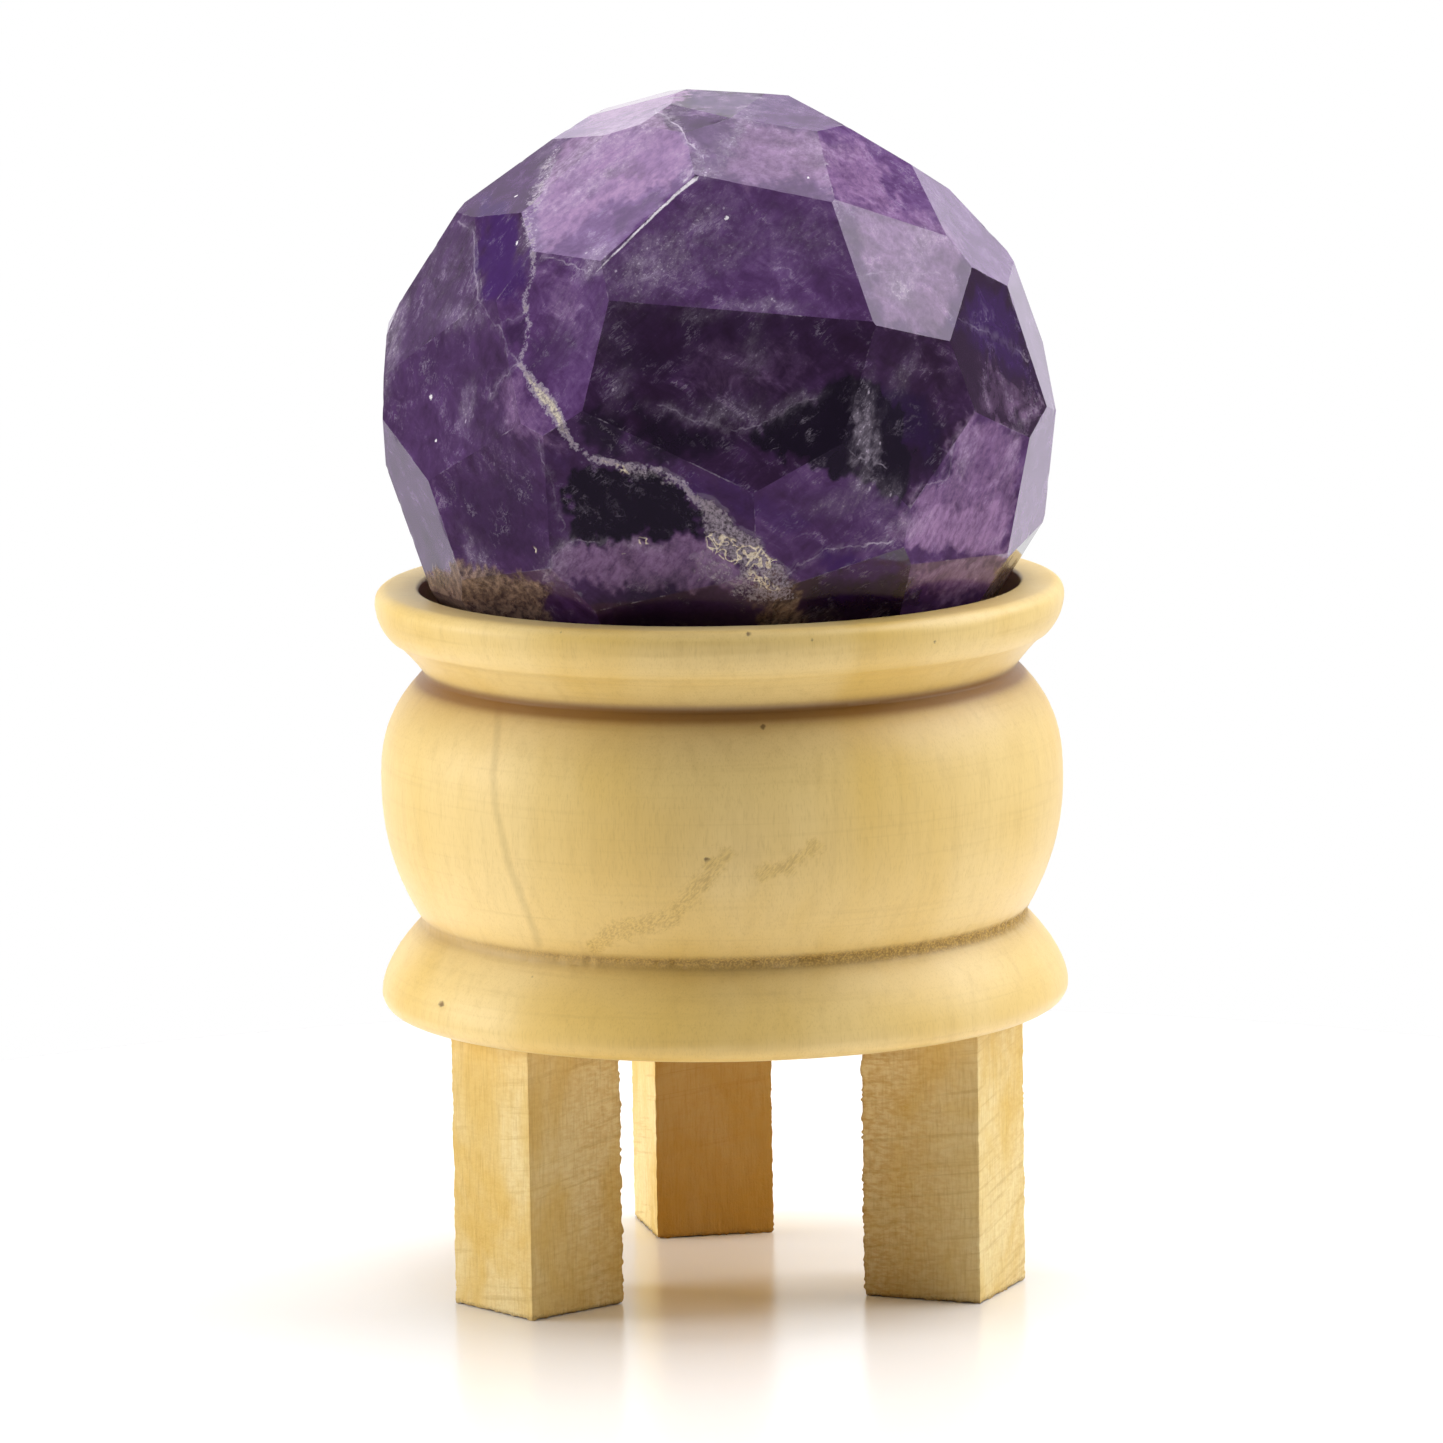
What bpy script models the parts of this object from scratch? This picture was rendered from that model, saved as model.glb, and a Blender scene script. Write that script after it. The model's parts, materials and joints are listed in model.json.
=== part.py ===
"""Decorative sphere: a hand-faceted amethyst ball, set in a turned wooden stand on three sawn legs.

The ball is a convex body cut flat by flat. It only rests in the recess of the stand.
Origin: the middle of the footprint, on the surface that the legs stand on. Units are metres, +Z is up.
"""
import math

import bmesh
import bpy
import numpy as np
from mathutils import Matrix, Vector

OBJECT = "decorative_sphere"
GAP = 0.0003
MERGE = 0.00001

# The ball
BALL_RADIUS = 0.0325
REST_CUT = 0.0010
BACK_CUT = 0.0011
BACK_FLATS = 72
FLAT_SPACING = 20.0
SPREAD_ROUNDS = 60
SPREAD_REACH = 0.9
SPREAD_STEP = 0.0008

# The flats of the front half and of its outline, as they were cut by hand, row by row from the crown:
# bearing round the ball from +X, height angle, both in degrees, and the cut's depth in millimetres
# from the centre of a ball of DEPTHS_FOR radius.
DEPTHS_FOR = 32.5
FRONT_FLATS = (
    (-71, 83, 31.5), (-106, 77, 31.7), (-42, 77, 31.5), (60, 81, 32.1),
    (-165, 72, 31.4), (170, 75, 31.9),
    (-154, 55, 31.3), (-122, 53, 30.9), (-72, 60, 31.2), (-36, 51, 31.2), (12, 58, 30.9), (168, 54, 31.4),
    (-155, 26, 31.1), (-148, 33, 31.5), (-125, 24, 31.6), (-85, 35, 30.0), (-47, 36, 31.4),
    (-14, 40, 31.4), (18, 42, 31.2), (170, 34, 31.6),
    (-174, 24, 33.0), (-146, 12, 30.7), (-87, 19, 29.9), (-56, 7, 31.8), (-27, 15, 31.5),
    (-9, 17, 31.9), (15, 21, 31.7), (177, 1, 31.8),
    (-160, -15, 31.3), (-136, -9, 31.3), (-102, -11, 30.9), (-72, -10, 31.8), (-37, -12, 31.2),
    (-15, -12, 31.7), (11, 0, 31.6), (174, -20, 30.7),
    (-131, -33, 31.3), (-96, -32, 31.3), (-65, -32, 31.4), (-38, -28, 31.3), (-12, -33, 31.4),
)

# The recess that holds the ball
RECESS_DEPTH = 0.0162
RIM_CLEARANCE = 0.0008
FLOOR_CLEARANCE = 0.0026
RIM_ROUND = 0.0004

# The turned outside of the stand
LIP_WIDTH = 0.0043
LIP_HEIGHT = 0.0080
LIP_TOP_ROUND = 0.0013
LIP_SIDE_ROUND = 0.0049
UPPER_GROOVE_DEPTH = 0.0046
UPPER_GROOVE_HEIGHT = 0.0004
BELLY_HEIGHT = 0.0238
BELLY_WIDEST = 0.0131
BELLY_SETBACK = 0.0003
BELLY_POWER_ABOVE = 2.6
BELLY_POWER_BELOW = 2.2
LOWER_GROOVE_DEPTH = 0.0039
LOWER_GROOVE_HEIGHT = 0.0008
FOOT_HEIGHT = 0.0085
FOOT_POWER = 1.7
FOOT_ROUND = 0.0018
TURNING_STEPS = 64

# The legs: each is sawn from square stock of its own side. LEGS gives name, side and turn in degrees
LEG_LENGTH = 0.0268
LEG_INSET = 0.0107
LEG_EDGE = 0.0003
LEFT_STOCK = 0.0120
RIGHT_STOCK = 0.0125
BACK_STOCK = 0.0121
FIRST_LEG_BEARING = -143.7
LEGS = (
    ("leg_front_left", LEFT_STOCK, -49.5),
    ("leg_front_right", RIGHT_STOCK, -23.0),
    ("leg_back", BACK_STOCK, -78.3),
)

# Places that follow from the sizes above
REST_DEPTH = BALL_RADIUS - REST_CUT
BACK_DEPTH = BALL_RADIUS - BACK_CUT
UNDERSIDE = LEG_LENGTH + GAP
LOWER_GROOVE = UNDERSIDE + FOOT_HEIGHT
BELLY_BOTTOM = LOWER_GROOVE + LOWER_GROOVE_HEIGHT
BELLY_TOP = BELLY_BOTTOM + BELLY_HEIGHT
LIP_BOTTOM = BELLY_TOP + UPPER_GROOVE_HEIGHT
RIM = LIP_BOTTOM + LIP_HEIGHT
FLOOR = RIM - RECESS_DEPTH
BALL_CENTRE = FLOOR + GAP + REST_DEPTH
OPENING_RADIUS = math.sqrt(BALL_RADIUS ** 2 - (BALL_CENTRE - RIM) ** 2) + RIM_CLEARANCE
FLOOR_RADIUS = math.sqrt(BALL_RADIUS ** 2 - REST_DEPTH ** 2) + FLOOR_CLEARANCE
STAND_RADIUS = OPENING_RADIUS + LIP_WIDTH


def clear_scene():
    for thing in list(bpy.data.objects):
        bpy.data.objects.remove(thing)


def new_collection(name):
    collection = bpy.data.collections.new(name)
    bpy.context.scene.collection.children.link(collection)
    return collection


def new_material(name, colour, roughness):
    material = bpy.data.materials.new(name)
    material.use_nodes = True
    shader = material.node_tree.nodes["Principled BSDF"]
    shader.inputs["Base Color"].default_value = (*colour, 1.0)
    shader.inputs["Roughness"].default_value = roughness
    shader.inputs["Metallic"].default_value = 0.0
    return material


def add_object(name, shape, material, collection):
    """Turn a bmesh into a named object with its material."""
    mesh = bpy.data.meshes.new(name)
    shape.to_mesh(mesh)
    shape.free()
    mesh.materials.append(material)
    thing = bpy.data.objects.new(name, mesh)
    collection.objects.link(thing)
    return thing


# The ball

def direction(bearing, height):
    """Unit vector of a flat that faces the given bearing and height angle."""
    bearing = math.radians(bearing)
    height = math.radians(height)
    level = math.cos(height)
    return np.array((level * math.cos(bearing), level * math.sin(bearing), math.sin(height)))


def spread_back_flats(fixed):
    """Directions of the remaining flats: where the listed ones leave room, pushed evenly apart."""
    nearest = math.cos(math.radians(FLAT_SPACING))
    free = []
    for index in range(BACK_FLATS):
        height = 1 - (2 * index + 1) / BACK_FLATS
        level = math.sqrt(1 - height * height)
        turn = index * math.pi * (3 - math.sqrt(5))
        spot = np.array((level * math.cos(turn), level * math.sin(turn), height))
        if all(spot @ other < nearest for other in fixed + free):
            free.append(spot)
    for _ in range(SPREAD_ROUNDS):
        for index, spot in enumerate(free):
            others = np.array(fixed + free[:index] + free[index + 1:])
            away = spot - others
            distance = np.linalg.norm(away, axis=1)
            close = distance < SPREAD_REACH
            push = (away[close] / distance[close][:, None] ** 4).sum(axis=0)
            moved = spot + SPREAD_STEP * push
            free[index] = moved / np.linalg.norm(moved)
    return free


def cut_flat(shape, facing, depth):
    """Grind one flat: cut off what lies outside its plane and close the cut."""
    facing = Vector(facing)
    everything = shape.verts[:] + shape.edges[:] + shape.faces[:]
    cut = bmesh.ops.bisect_plane(
        shape, geom=everything, dist=MERGE / 10, plane_co=facing * depth, plane_no=facing, clear_outer=True)
    border = [part for part in cut["geom_cut"] if isinstance(part, bmesh.types.BMEdge)]
    if border:
        bmesh.ops.holes_fill(shape, edges=border, sides=0)


def make_ball(collection):
    """The amethyst ball: a block ground down flat by flat, with the flat that it rests on below."""
    amethyst = new_material("amethyst", (0.16, 0.09, 0.21), 0.12)
    scale = BALL_RADIUS / DEPTHS_FOR
    flats = [(direction(bearing, height), depth * scale) for bearing, height, depth in FRONT_FLATS]
    flats.append((np.array((0.0, 0.0, -1.0)), REST_DEPTH))
    for facing in spread_back_flats([facing for facing, _ in flats]):
        flats.append((facing, BACK_DEPTH))
    shape = bmesh.new()
    bmesh.ops.create_cube(shape, size=2.4 * BALL_RADIUS)
    for facing, depth in flats:
        cut_flat(shape, facing, depth)
    bmesh.ops.remove_doubles(shape, verts=shape.verts[:], dist=MERGE)
    bmesh.ops.recalc_face_normals(shape, faces=shape.faces[:])
    ball = add_object("faceted_ball", shape, amethyst, collection)
    ball.location = (0.0, 0.0, BALL_CENTRE)
    return ball


# The stand

def arc(centre_radius, centre_height, radius, start, end, steps):
    """Points along an arc of the profile, angles in degrees from the outward direction."""
    points = []
    for index in range(steps + 1):
        angle = math.radians(start + (end - start) * index / steps)
        points.append((centre_radius + radius * math.cos(angle), centre_height + radius * math.sin(angle)))
    return points


def swell(widest, drop, height, reach, power, shares):
    """Points of a swelling side that falls back by drop at the distance reach from its widest height."""
    return [(widest - drop * abs(share) ** power, height + reach * share) for share in shares]


def recess_points():
    """Floor and bowl-shaped wall, from the middle outwards and up to the rim."""
    wall_top = RIM - RIM_ROUND
    wall_height = wall_top - FLOOR
    sweep = wall_height / math.sqrt(1 - (FLOOR_RADIUS / OPENING_RADIUS) ** 2)
    points = [(0.0, FLOOR), (FLOOR_RADIUS, FLOOR)]
    for share in (0.9, 0.76, 0.6, 0.42, 0.22, 0.0):
        fall = wall_height * share
        points.append((OPENING_RADIUS * math.sqrt(1 - (fall / sweep) ** 2), wall_top - fall))
    return points


def lip_points():
    """Rounded rim, flat top and rolled side, ending in the upper groove."""
    rim_round = arc(OPENING_RADIUS + RIM_ROUND, RIM - RIM_ROUND, RIM_ROUND, 150, 90, 2)
    top_round = arc(STAND_RADIUS - LIP_TOP_ROUND, RIM - LIP_TOP_ROUND, LIP_TOP_ROUND, 90, 0, 4)
    side_round = arc(STAND_RADIUS - LIP_SIDE_ROUND, RIM - LIP_TOP_ROUND, LIP_SIDE_ROUND, -11, -45, 4)
    groove = STAND_RADIUS - UPPER_GROOVE_DEPTH
    return rim_round + top_round + side_round + [(groove, LIP_BOTTOM), (groove, BELLY_TOP)]


def belly_points():
    """The swelling middle, between its two grooves."""
    widest = STAND_RADIUS - BELLY_SETBACK
    widest_height = BELLY_BOTTOM + BELLY_WIDEST
    above = swell(widest, widest - STAND_RADIUS + UPPER_GROOVE_DEPTH, widest_height,
                  BELLY_HEIGHT - BELLY_WIDEST, BELLY_POWER_ABOVE, (0.95, 0.88, 0.79, 0.67, 0.5, 0.25, 0.0))
    below = swell(widest, widest - STAND_RADIUS + LOWER_GROOVE_DEPTH, widest_height,
                  BELLY_WIDEST, BELLY_POWER_BELOW, (-0.25, -0.45, -0.62, -0.76, -0.88, -1.0))
    return above + below


def foot_points():
    """The ring at the bottom, its rounded lower edge and the underside."""
    groove = STAND_RADIUS - LOWER_GROOVE_DEPTH
    rise = FOOT_HEIGHT - FOOT_ROUND
    side = swell(STAND_RADIUS, LOWER_GROOVE_DEPTH, UNDERSIDE + FOOT_ROUND, rise, FOOT_POWER,
                 (0.85, 0.68, 0.5, 0.32, 0.15, 0.0))
    edge = arc(STAND_RADIUS - FOOT_ROUND, UNDERSIDE + FOOT_ROUND, FOOT_ROUND, -22.5, -90, 3)
    return [(groove, LOWER_GROOVE)] + side + edge + [(0.0, UNDERSIDE)]


def make_stand(collection):
    """The turned stand: one profile, turned about the upright axis."""
    wood = new_material("turned_pale_wood", (0.80, 0.62, 0.34), 0.38)
    profile = recess_points() + lip_points() + belly_points() + foot_points()
    shape = bmesh.new()
    corners = [shape.verts.new((radius, 0.0, height)) for radius, height in profile]
    for upper, lower in zip(corners, corners[1:]):
        shape.edges.new((upper, lower))
    stand = add_object("turned_stand", shape, wood, collection)
    turning = stand.modifiers.new("turning", "SCREW")
    turning.axis = "Z"
    turning.angle = math.tau
    turning.steps = TURNING_STEPS
    turning.render_steps = TURNING_STEPS
    turning.use_merge_vertices = True
    turning.merge_threshold = MERGE
    turning.use_smooth_shade = True
    return stand


# The legs

def make_leg(name, side, turn, bearing, wood, collection):
    """One leg: a length of square stock, its sawn edges just broken."""
    shape = bmesh.new()
    bmesh.ops.create_cube(shape, size=1.0, matrix=Matrix.Diagonal((side, side, LEG_LENGTH, 1.0)))
    leg = add_object(name, shape, wood, collection)
    bearing = math.radians(bearing)
    reach = STAND_RADIUS - LEG_INSET
    leg.location = (reach * math.cos(bearing), reach * math.sin(bearing), LEG_LENGTH / 2)
    leg.rotation_euler = (0.0, 0.0, math.radians(turn))
    edges = leg.modifiers.new("broken edges", "BEVEL")
    edges.width = LEG_EDGE
    edges.segments = 1
    return leg


def make_legs(collection):
    wood = new_material("sawn_wood", (0.68, 0.47, 0.27), 0.8)
    for index, (name, side, turn) in enumerate(LEGS):
        make_leg(name, side, turn, FIRST_LEG_BEARING + 360 * index / len(LEGS), wood, collection)


def main():
    clear_scene()
    collection = new_collection(OBJECT)
    make_legs(collection)
    make_stand(collection)
    make_ball(collection)


main()
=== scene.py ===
"""The looks of a decorative sphere: a faceted amethyst ball in a turned wooden stand on three sawn legs.

Every length is in metres unless a name says mm. Places that were read off the photograph are pixels of
its 1443 x 1443 frame, x to the right and y down, and are turned into the object's frame by the camera.
"""
import json
import math
from functools import partial

import bmesh
import bpy
import numpy as np
from bpy.props import FloatProperty, FloatVectorProperty, IntProperty, PointerProperty
from mathutils import Matrix, Vector
from mathutils.geometry import delaunay_2d_cdt

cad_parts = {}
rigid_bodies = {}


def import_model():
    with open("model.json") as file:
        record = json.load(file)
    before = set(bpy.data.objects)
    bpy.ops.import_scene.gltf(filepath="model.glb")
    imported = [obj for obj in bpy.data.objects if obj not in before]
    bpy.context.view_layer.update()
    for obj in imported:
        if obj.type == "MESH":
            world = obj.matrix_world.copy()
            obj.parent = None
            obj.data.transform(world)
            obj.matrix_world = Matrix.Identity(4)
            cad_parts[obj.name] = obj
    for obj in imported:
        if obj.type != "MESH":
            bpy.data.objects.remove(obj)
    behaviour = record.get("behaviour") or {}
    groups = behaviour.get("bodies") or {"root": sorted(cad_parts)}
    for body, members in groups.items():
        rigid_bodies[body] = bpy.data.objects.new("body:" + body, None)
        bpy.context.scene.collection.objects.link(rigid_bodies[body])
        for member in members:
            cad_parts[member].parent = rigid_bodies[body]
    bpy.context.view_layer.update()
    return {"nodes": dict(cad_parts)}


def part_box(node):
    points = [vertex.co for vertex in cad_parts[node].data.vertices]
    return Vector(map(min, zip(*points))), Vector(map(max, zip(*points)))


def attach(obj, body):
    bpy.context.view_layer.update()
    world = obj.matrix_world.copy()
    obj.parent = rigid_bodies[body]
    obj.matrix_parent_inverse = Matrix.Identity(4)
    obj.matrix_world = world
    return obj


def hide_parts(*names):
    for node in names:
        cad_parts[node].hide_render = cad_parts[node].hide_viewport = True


bl_info = {
    "name": "Decorative sphere",
    "version": (1, 0, 0),
    "blender": (4, 5, 0),
    "location": "3D View > Sidebar > Sphere",
    "description": "Faceted amethyst ball in a turned wooden stand",
    "category": "Add Mesh",
}

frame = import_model()

# The photograph's camera
IMAGE_PX = 1443
CAMERA_PLACE = (-0.00048, -0.9790, 0.2095)
CAMERA_PITCH = 8.98
CAMERA_YAW = 0.029
CAMERA_ROLL = -0.88
FOCAL_PX = 10150.0
SENSOR_MM = 36.0

# A millimetre, the photograph's pixels to one at the ball, and a distance beyond all of them
MM = 0.001
PX_PER_MM = 10.3
FAR_PX = 1e9

BALL_LOW, BALL_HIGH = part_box("faceted_ball")
STAND_LOW, STAND_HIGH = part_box("turned_stand")
STAND_RADIUS = STAND_HIGH.x


# Small helpers

def linear(hex_colour):
    """An sRGB hex colour as linear red, green, blue and a full alpha."""
    channels = [int(hex_colour[i:i + 2], 16) / 255 for i in (1, 3, 5)]
    return *(c / 12.92 if c <= 0.04045 else ((c + 0.055) / 1.055) ** 2.4 for c in channels), 1.0


def smooth_step(low, high, values):
    share = np.clip((values - low) / (high - low), 0.0, 1.0)
    return share * share * (3 - 2 * share)


def direction(bearing, height):
    """The unit step towards a bearing and a height angle, both in degrees."""
    bearing, height = math.radians(bearing), math.radians(height)
    return math.cos(height) * math.cos(bearing), math.cos(height) * math.sin(bearing), math.sin(height)


def camera_axes():
    """Forward, right and up of the camera."""
    pitch, yaw, roll = (math.radians(angle) for angle in (CAMERA_PITCH, CAMERA_YAW, CAMERA_ROLL))
    forward = Vector((math.sin(yaw) * math.cos(pitch), math.cos(yaw) * math.cos(pitch), -math.sin(pitch)))
    level = Vector((math.cos(yaw), -math.sin(yaw), 0.0))
    above = level.cross(forward)
    right = math.cos(roll) * level + math.sin(roll) * above
    up = math.cos(roll) * above - math.sin(roll) * level
    return forward, right, up


def photo_pixels(points):
    """Where points of the object fall in the photograph."""
    forward, right, up = (np.array(axis) for axis in camera_axes())
    away = points - np.array(CAMERA_PLACE)
    depth = away @ forward
    across = IMAGE_PX / 2 + FOCAL_PX * (away @ right) / depth
    down = IMAGE_PX / 2 - FOCAL_PX * (away @ up) / depth
    return np.stack((across, down), axis=1)


def line_stretches(spots, line):
    """For each stretch of a bent line: its number, its span, and each spot's place along and away from it."""
    line = np.array(line, float)[:, :2]
    for index, (start, end) in enumerate(zip(line, line[1:])):
        span = end - start
        reach = (spots - start) @ span / max(span @ span, 1e-9)
        yield index, span, reach, spots - start - np.clip(reach, 0.0, 1.0)[:, None] * span


def line_distance(spots, line):
    """Distance of each spot from a bent line, and how far along it the nearest place is, from 0 to 1."""
    best = np.full(len(spots), FAR_PX)
    along = np.zeros(len(spots))
    for index, _, reach, away in line_stretches(spots, line):
        distance = np.linalg.norm(away, axis=1)
        nearer = distance < best
        best = np.where(nearer, distance, best)
        along = np.where(nearer, (index + np.clip(reach, 0.0, 1.0)) / (len(line) - 1), along)
    return best, along


def side_distance(spots, lines):
    """Signed distance from the nearest of some bent lines, and its strength, or 0 past a line's end."""
    best = np.full(len(spots), FAR_PX)
    signed, beside = best, np.zeros(len(spots))
    for strength, line in lines:
        for index, span, reach, away in line_stretches(spots, line):
            distance = np.linalg.norm(away, axis=1)
            side = np.where(span[0] * away[:, 1] - span[1] * away[:, 0] < 0, -1.0, 1.0)
            past = ((reach < 0) & (index == 0)) | ((reach > 1) & (index == len(line) - 2))
            nearer = distance < best
            best = np.where(nearer, distance, best)
            signed = np.where(nearer, side * distance, signed)
            beside = np.where(nearer, np.where(past, 0.0, strength), beside)
    return signed, beside


def inside_distance(spots, outline):
    """Distance of each spot from an outline, positive inside it."""
    closed = list(outline) + [outline[0]]
    distance, _ = line_distance(spots, closed)
    inside = np.zeros(len(spots), bool)
    for (x0, y0), (x1, y1) in zip(closed, closed[1:]):
        if y0 == y1:
            continue
        crosses = ((spots[:, 1] < y0) != (spots[:, 1] < y1))
        inside ^= crosses & (spots[:, 0] < x0 + (spots[:, 1] - y0) * (x1 - x0) / (y1 - y0))
    return np.where(inside, distance, -distance)


# A ripple is a sum of this many waves, and is divided by about the root of their number
RIPPLE_WAVES = 10
RIPPLE_SPREAD = 3.2
WAVE_LENGTHS = (0.6, 1.6)


def ripple(points, size, seed):
    """Smooth pseudo-random field of about -1 to 1 with features of the given size."""
    dice = np.random.default_rng(seed)
    total = np.zeros(len(points))
    for _ in range(RIPPLE_WAVES):
        way = dice.normal(size=3)
        way *= dice.uniform(*WAVE_LENGTHS) * math.tau / (2 * size * np.linalg.norm(way))
        total += np.sin(points @ way + dice.uniform(0, math.tau))
    return total / RIPPLE_SPREAD


def put_attribute(mesh, name, values, domain="POINT"):
    attribute = mesh.attributes.new(name, "FLOAT", domain)
    attribute.data.foreach_set("value", np.asarray(values, np.float32))


def mesh_points(mesh):
    points = np.zeros(len(mesh.vertices) * 3)
    mesh.vertices.foreach_get("co", points)
    return points.reshape(-1, 3)


def set_mesh_points(mesh, points):
    mesh.vertices.foreach_set("co", points.astype(np.float32).ravel())
    mesh.update()


def new_piece(name, mesh):
    thing = bpy.data.objects.new(name, mesh)
    bpy.context.scene.collection.objects.link(thing)
    return thing


def deselect():
    for thing in bpy.data.objects:
        thing.select_set(False)


def only(thing):
    """Make one object the only selected one, and the active one."""
    deselect()
    thing.select_set(True)
    bpy.context.view_layer.objects.active = thing


def edit_all(thing):
    """Open one object in edit mode with all of it selected."""
    only(thing)
    bpy.ops.object.mode_set(mode="EDIT")
    bpy.ops.mesh.select_all(action="SELECT")


def close_shell(join_within):
    """Join the doubles of the mesh in edit mode, turn its faces outwards and go back to object mode."""
    bpy.ops.mesh.remove_doubles(threshold=join_within)
    bpy.ops.mesh.normals_make_consistent(inside=False)
    bpy.ops.object.mode_set(mode="OBJECT")


def hand_over(piece, node, material):
    """Give a finished piece its material, put it on the root body and hide the CAD part that it replaces."""
    piece.data.materials.clear()
    piece.data.materials.append(material)
    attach(piece, "root")
    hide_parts(node)


# Materials

# The kinds of node that the materials use: type, settings, inputs in the order they are given, output used
PLACE = ("ShaderNodeTexCoord", {}, (), "Object")
SCALED = ("ShaderNodeVectorMath", {"operation": "SCALE"}, (0, "Scale"), 0)
MOVED = ("ShaderNodeVectorMath", {"operation": "ADD"}, (0, 1), 0)
BENT = ("ShaderNodeVectorMath", {"operation": "MULTIPLY_ADD"}, (0, 1, 2), 0)
APART = ("ShaderNodeVectorMath", {"operation": "DISTANCE"}, (0, 1), "Value")
TURNED = ("ShaderNodeMapping", {"vector_type": "TEXTURE"}, ("Vector", "Rotation", "Scale"), 0)
NOISE = ("ShaderNodeTexNoise", {}, ("Vector", "Scale", "Detail", "Roughness", "Distortion"), "Fac")
CELLS = ("ShaderNodeTexVoronoi", {}, ("Vector", "Scale"), "Distance")
ADD = ("ShaderNodeMath", {"operation": "ADD"}, (0, 1), 0)
TIMES = ("ShaderNodeMath", {"operation": "MULTIPLY"}, (0, 1), 0)
TIMES_ADD = ("ShaderNodeMath", {"operation": "MULTIPLY_ADD"}, (0, 1, 2), 0)
LARGER = ("ShaderNodeMath", {"operation": "MAXIMUM"}, (0, 1), 0)
SMALLER = ("ShaderNodeMath", {"operation": "MINIMUM"}, (0, 1), 0)
UNSIGNED = ("ShaderNodeMath", {"operation": "ABSOLUTE"}, (0,), 0)
EASE = ("ShaderNodeMapRange", {"interpolation_type": "SMOOTHSTEP"},
        ("Value", "From Min", "From Max", "To Min", "To Max"), 0)
BLEND = ("ShaderNodeMix", {"data_type": "RGBA"}, (0, 6, 7), 2)
BUMP = ("ShaderNodeBump", {}, ("Height", "Strength", "Distance"), 0)
# The turn and the stretch of a pattern that has none
LEVEL = (0.0, 0.0, 0.0)
EVEN = (1.0, 1.0, 1.0)


def add_node(tree, kind, *inputs):
    """Add one node of a kind, fill or link its inputs in order, and return the output that is used."""
    type_name, settings, names, output = kind
    node = tree.nodes.new(type_name)
    for name, value in settings.items():
        setattr(node, name, value)
    for name, value in zip(names, inputs):
        if isinstance(value, bpy.types.NodeSocket):
            tree.links.new(value, node.inputs[name])
        else:
            node.inputs[name].default_value = value
    return node.outputs[output]


def start_material(name, stored):
    """A new material: its tree, shader, the place in mm, and the values that its mesh stores, by name."""
    material = bpy.data.materials.new(name)
    material.use_nodes = True
    tree = material.node_tree
    place = add_node(tree, SCALED, add_node(tree, PLACE), 1 / MM)
    marks = {mark: add_node(tree, ("ShaderNodeAttribute", {"attribute_name": mark}, (), "Fac"))
             for mark in stored}
    return material, tree, tree.nodes["Principled BSDF"], place, marks


def add_patterns(tree, place, patterns):
    """Noise patterns by name, each from its size in mm, detail, roughness, bend, turn and stretch."""
    found = {}
    for name, (size, detail, roughness, bend, turn, stretch) in patterns.items():
        turned = add_node(tree, TURNED, place, turn, stretch)
        found[name] = add_node(tree, NOISE, turned, 1 / size, detail, roughness, bend)
    return found


# The ball

# The cream vein, from the crown's left to the rim: x, y and half width in pixels, and how solid it is
CREAM_VEIN = (
    (556, 146, 4, 0.25), (545, 172, 7, 0.35), (536, 199, 8, 0.45), (527, 214, 6, 0.5), (531, 244, 4, 0.5),
    (533, 267, 3, 0.5), (527, 290, 2, 0.5), (523, 313, 2, 0.6), (529, 325, 2, 0.5), (524, 345, 2, 0.5),
    (519, 362, 2, 0.8), (528, 374, 3, 0.9), (537, 389, 6, 1.1), (549, 404, 7, 1.2), (561, 426, 4, 1.1),
    (569, 440, 3, 0.75), (577, 449, 1, 0.6), (590, 459, 1, 0.55), (602, 460, 2, 0.95), (611, 461, 3, 1.0),
    (622, 465, 3, 0.5), (640, 468, 4, 0.4), (660, 469, 3, 0.55), (674, 477, 3, 0.75), (687, 487, 3, 0.8),
    (701, 503, 4, 0.7), (714, 520, 5, 0.5), (730, 540, 6, 0.4), (752, 560, 6, 0.35), (774, 578, 5, 0.25),
)
# Granular places along the vein, and the coarse cream crystals in them: strength, soft border, outline
GRAVELS = (
    (0.85, 5, ((697, 492), (712, 500), (733, 522), (757, 540), (775, 562), (790, 575), (760, 572), (735, 562),
               (712, 548), (702, 528))),
    (0.6, 5, ((742, 566), (788, 572), (797, 600), (757, 604), (726, 592))),
    (0.5, 5, ((612, 462), (640, 466), (668, 472), (690, 488), (668, 486), (640, 478), (622, 474))),
    (0.45, 5, ((690, 556), (704, 548), (735, 568), (738, 586), (712, 586), (694, 574))),
)
CRYSTALS = (
    (1.0, 3, ((704, 532), (718, 533), (735, 541), (758, 547), (777, 559), (772, 570), (748, 566), (726, 560),
              (706, 548))),
    (0.7, 4, ((745, 570), (770, 576), (778, 592), (756, 588))),
    (0.7, 3, ((612, 462), (632, 466), (628, 474), (616, 470))),
    (0.9, 3, ((536, 546), (538, 549), (536, 553), (534, 550))),
    (0.9, 2, ((640, 538), (648, 536), (650, 542), (642, 546))),
    (0.9, 2, ((620, 550), (630, 549), (631, 554), (621, 555))),
)
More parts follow.
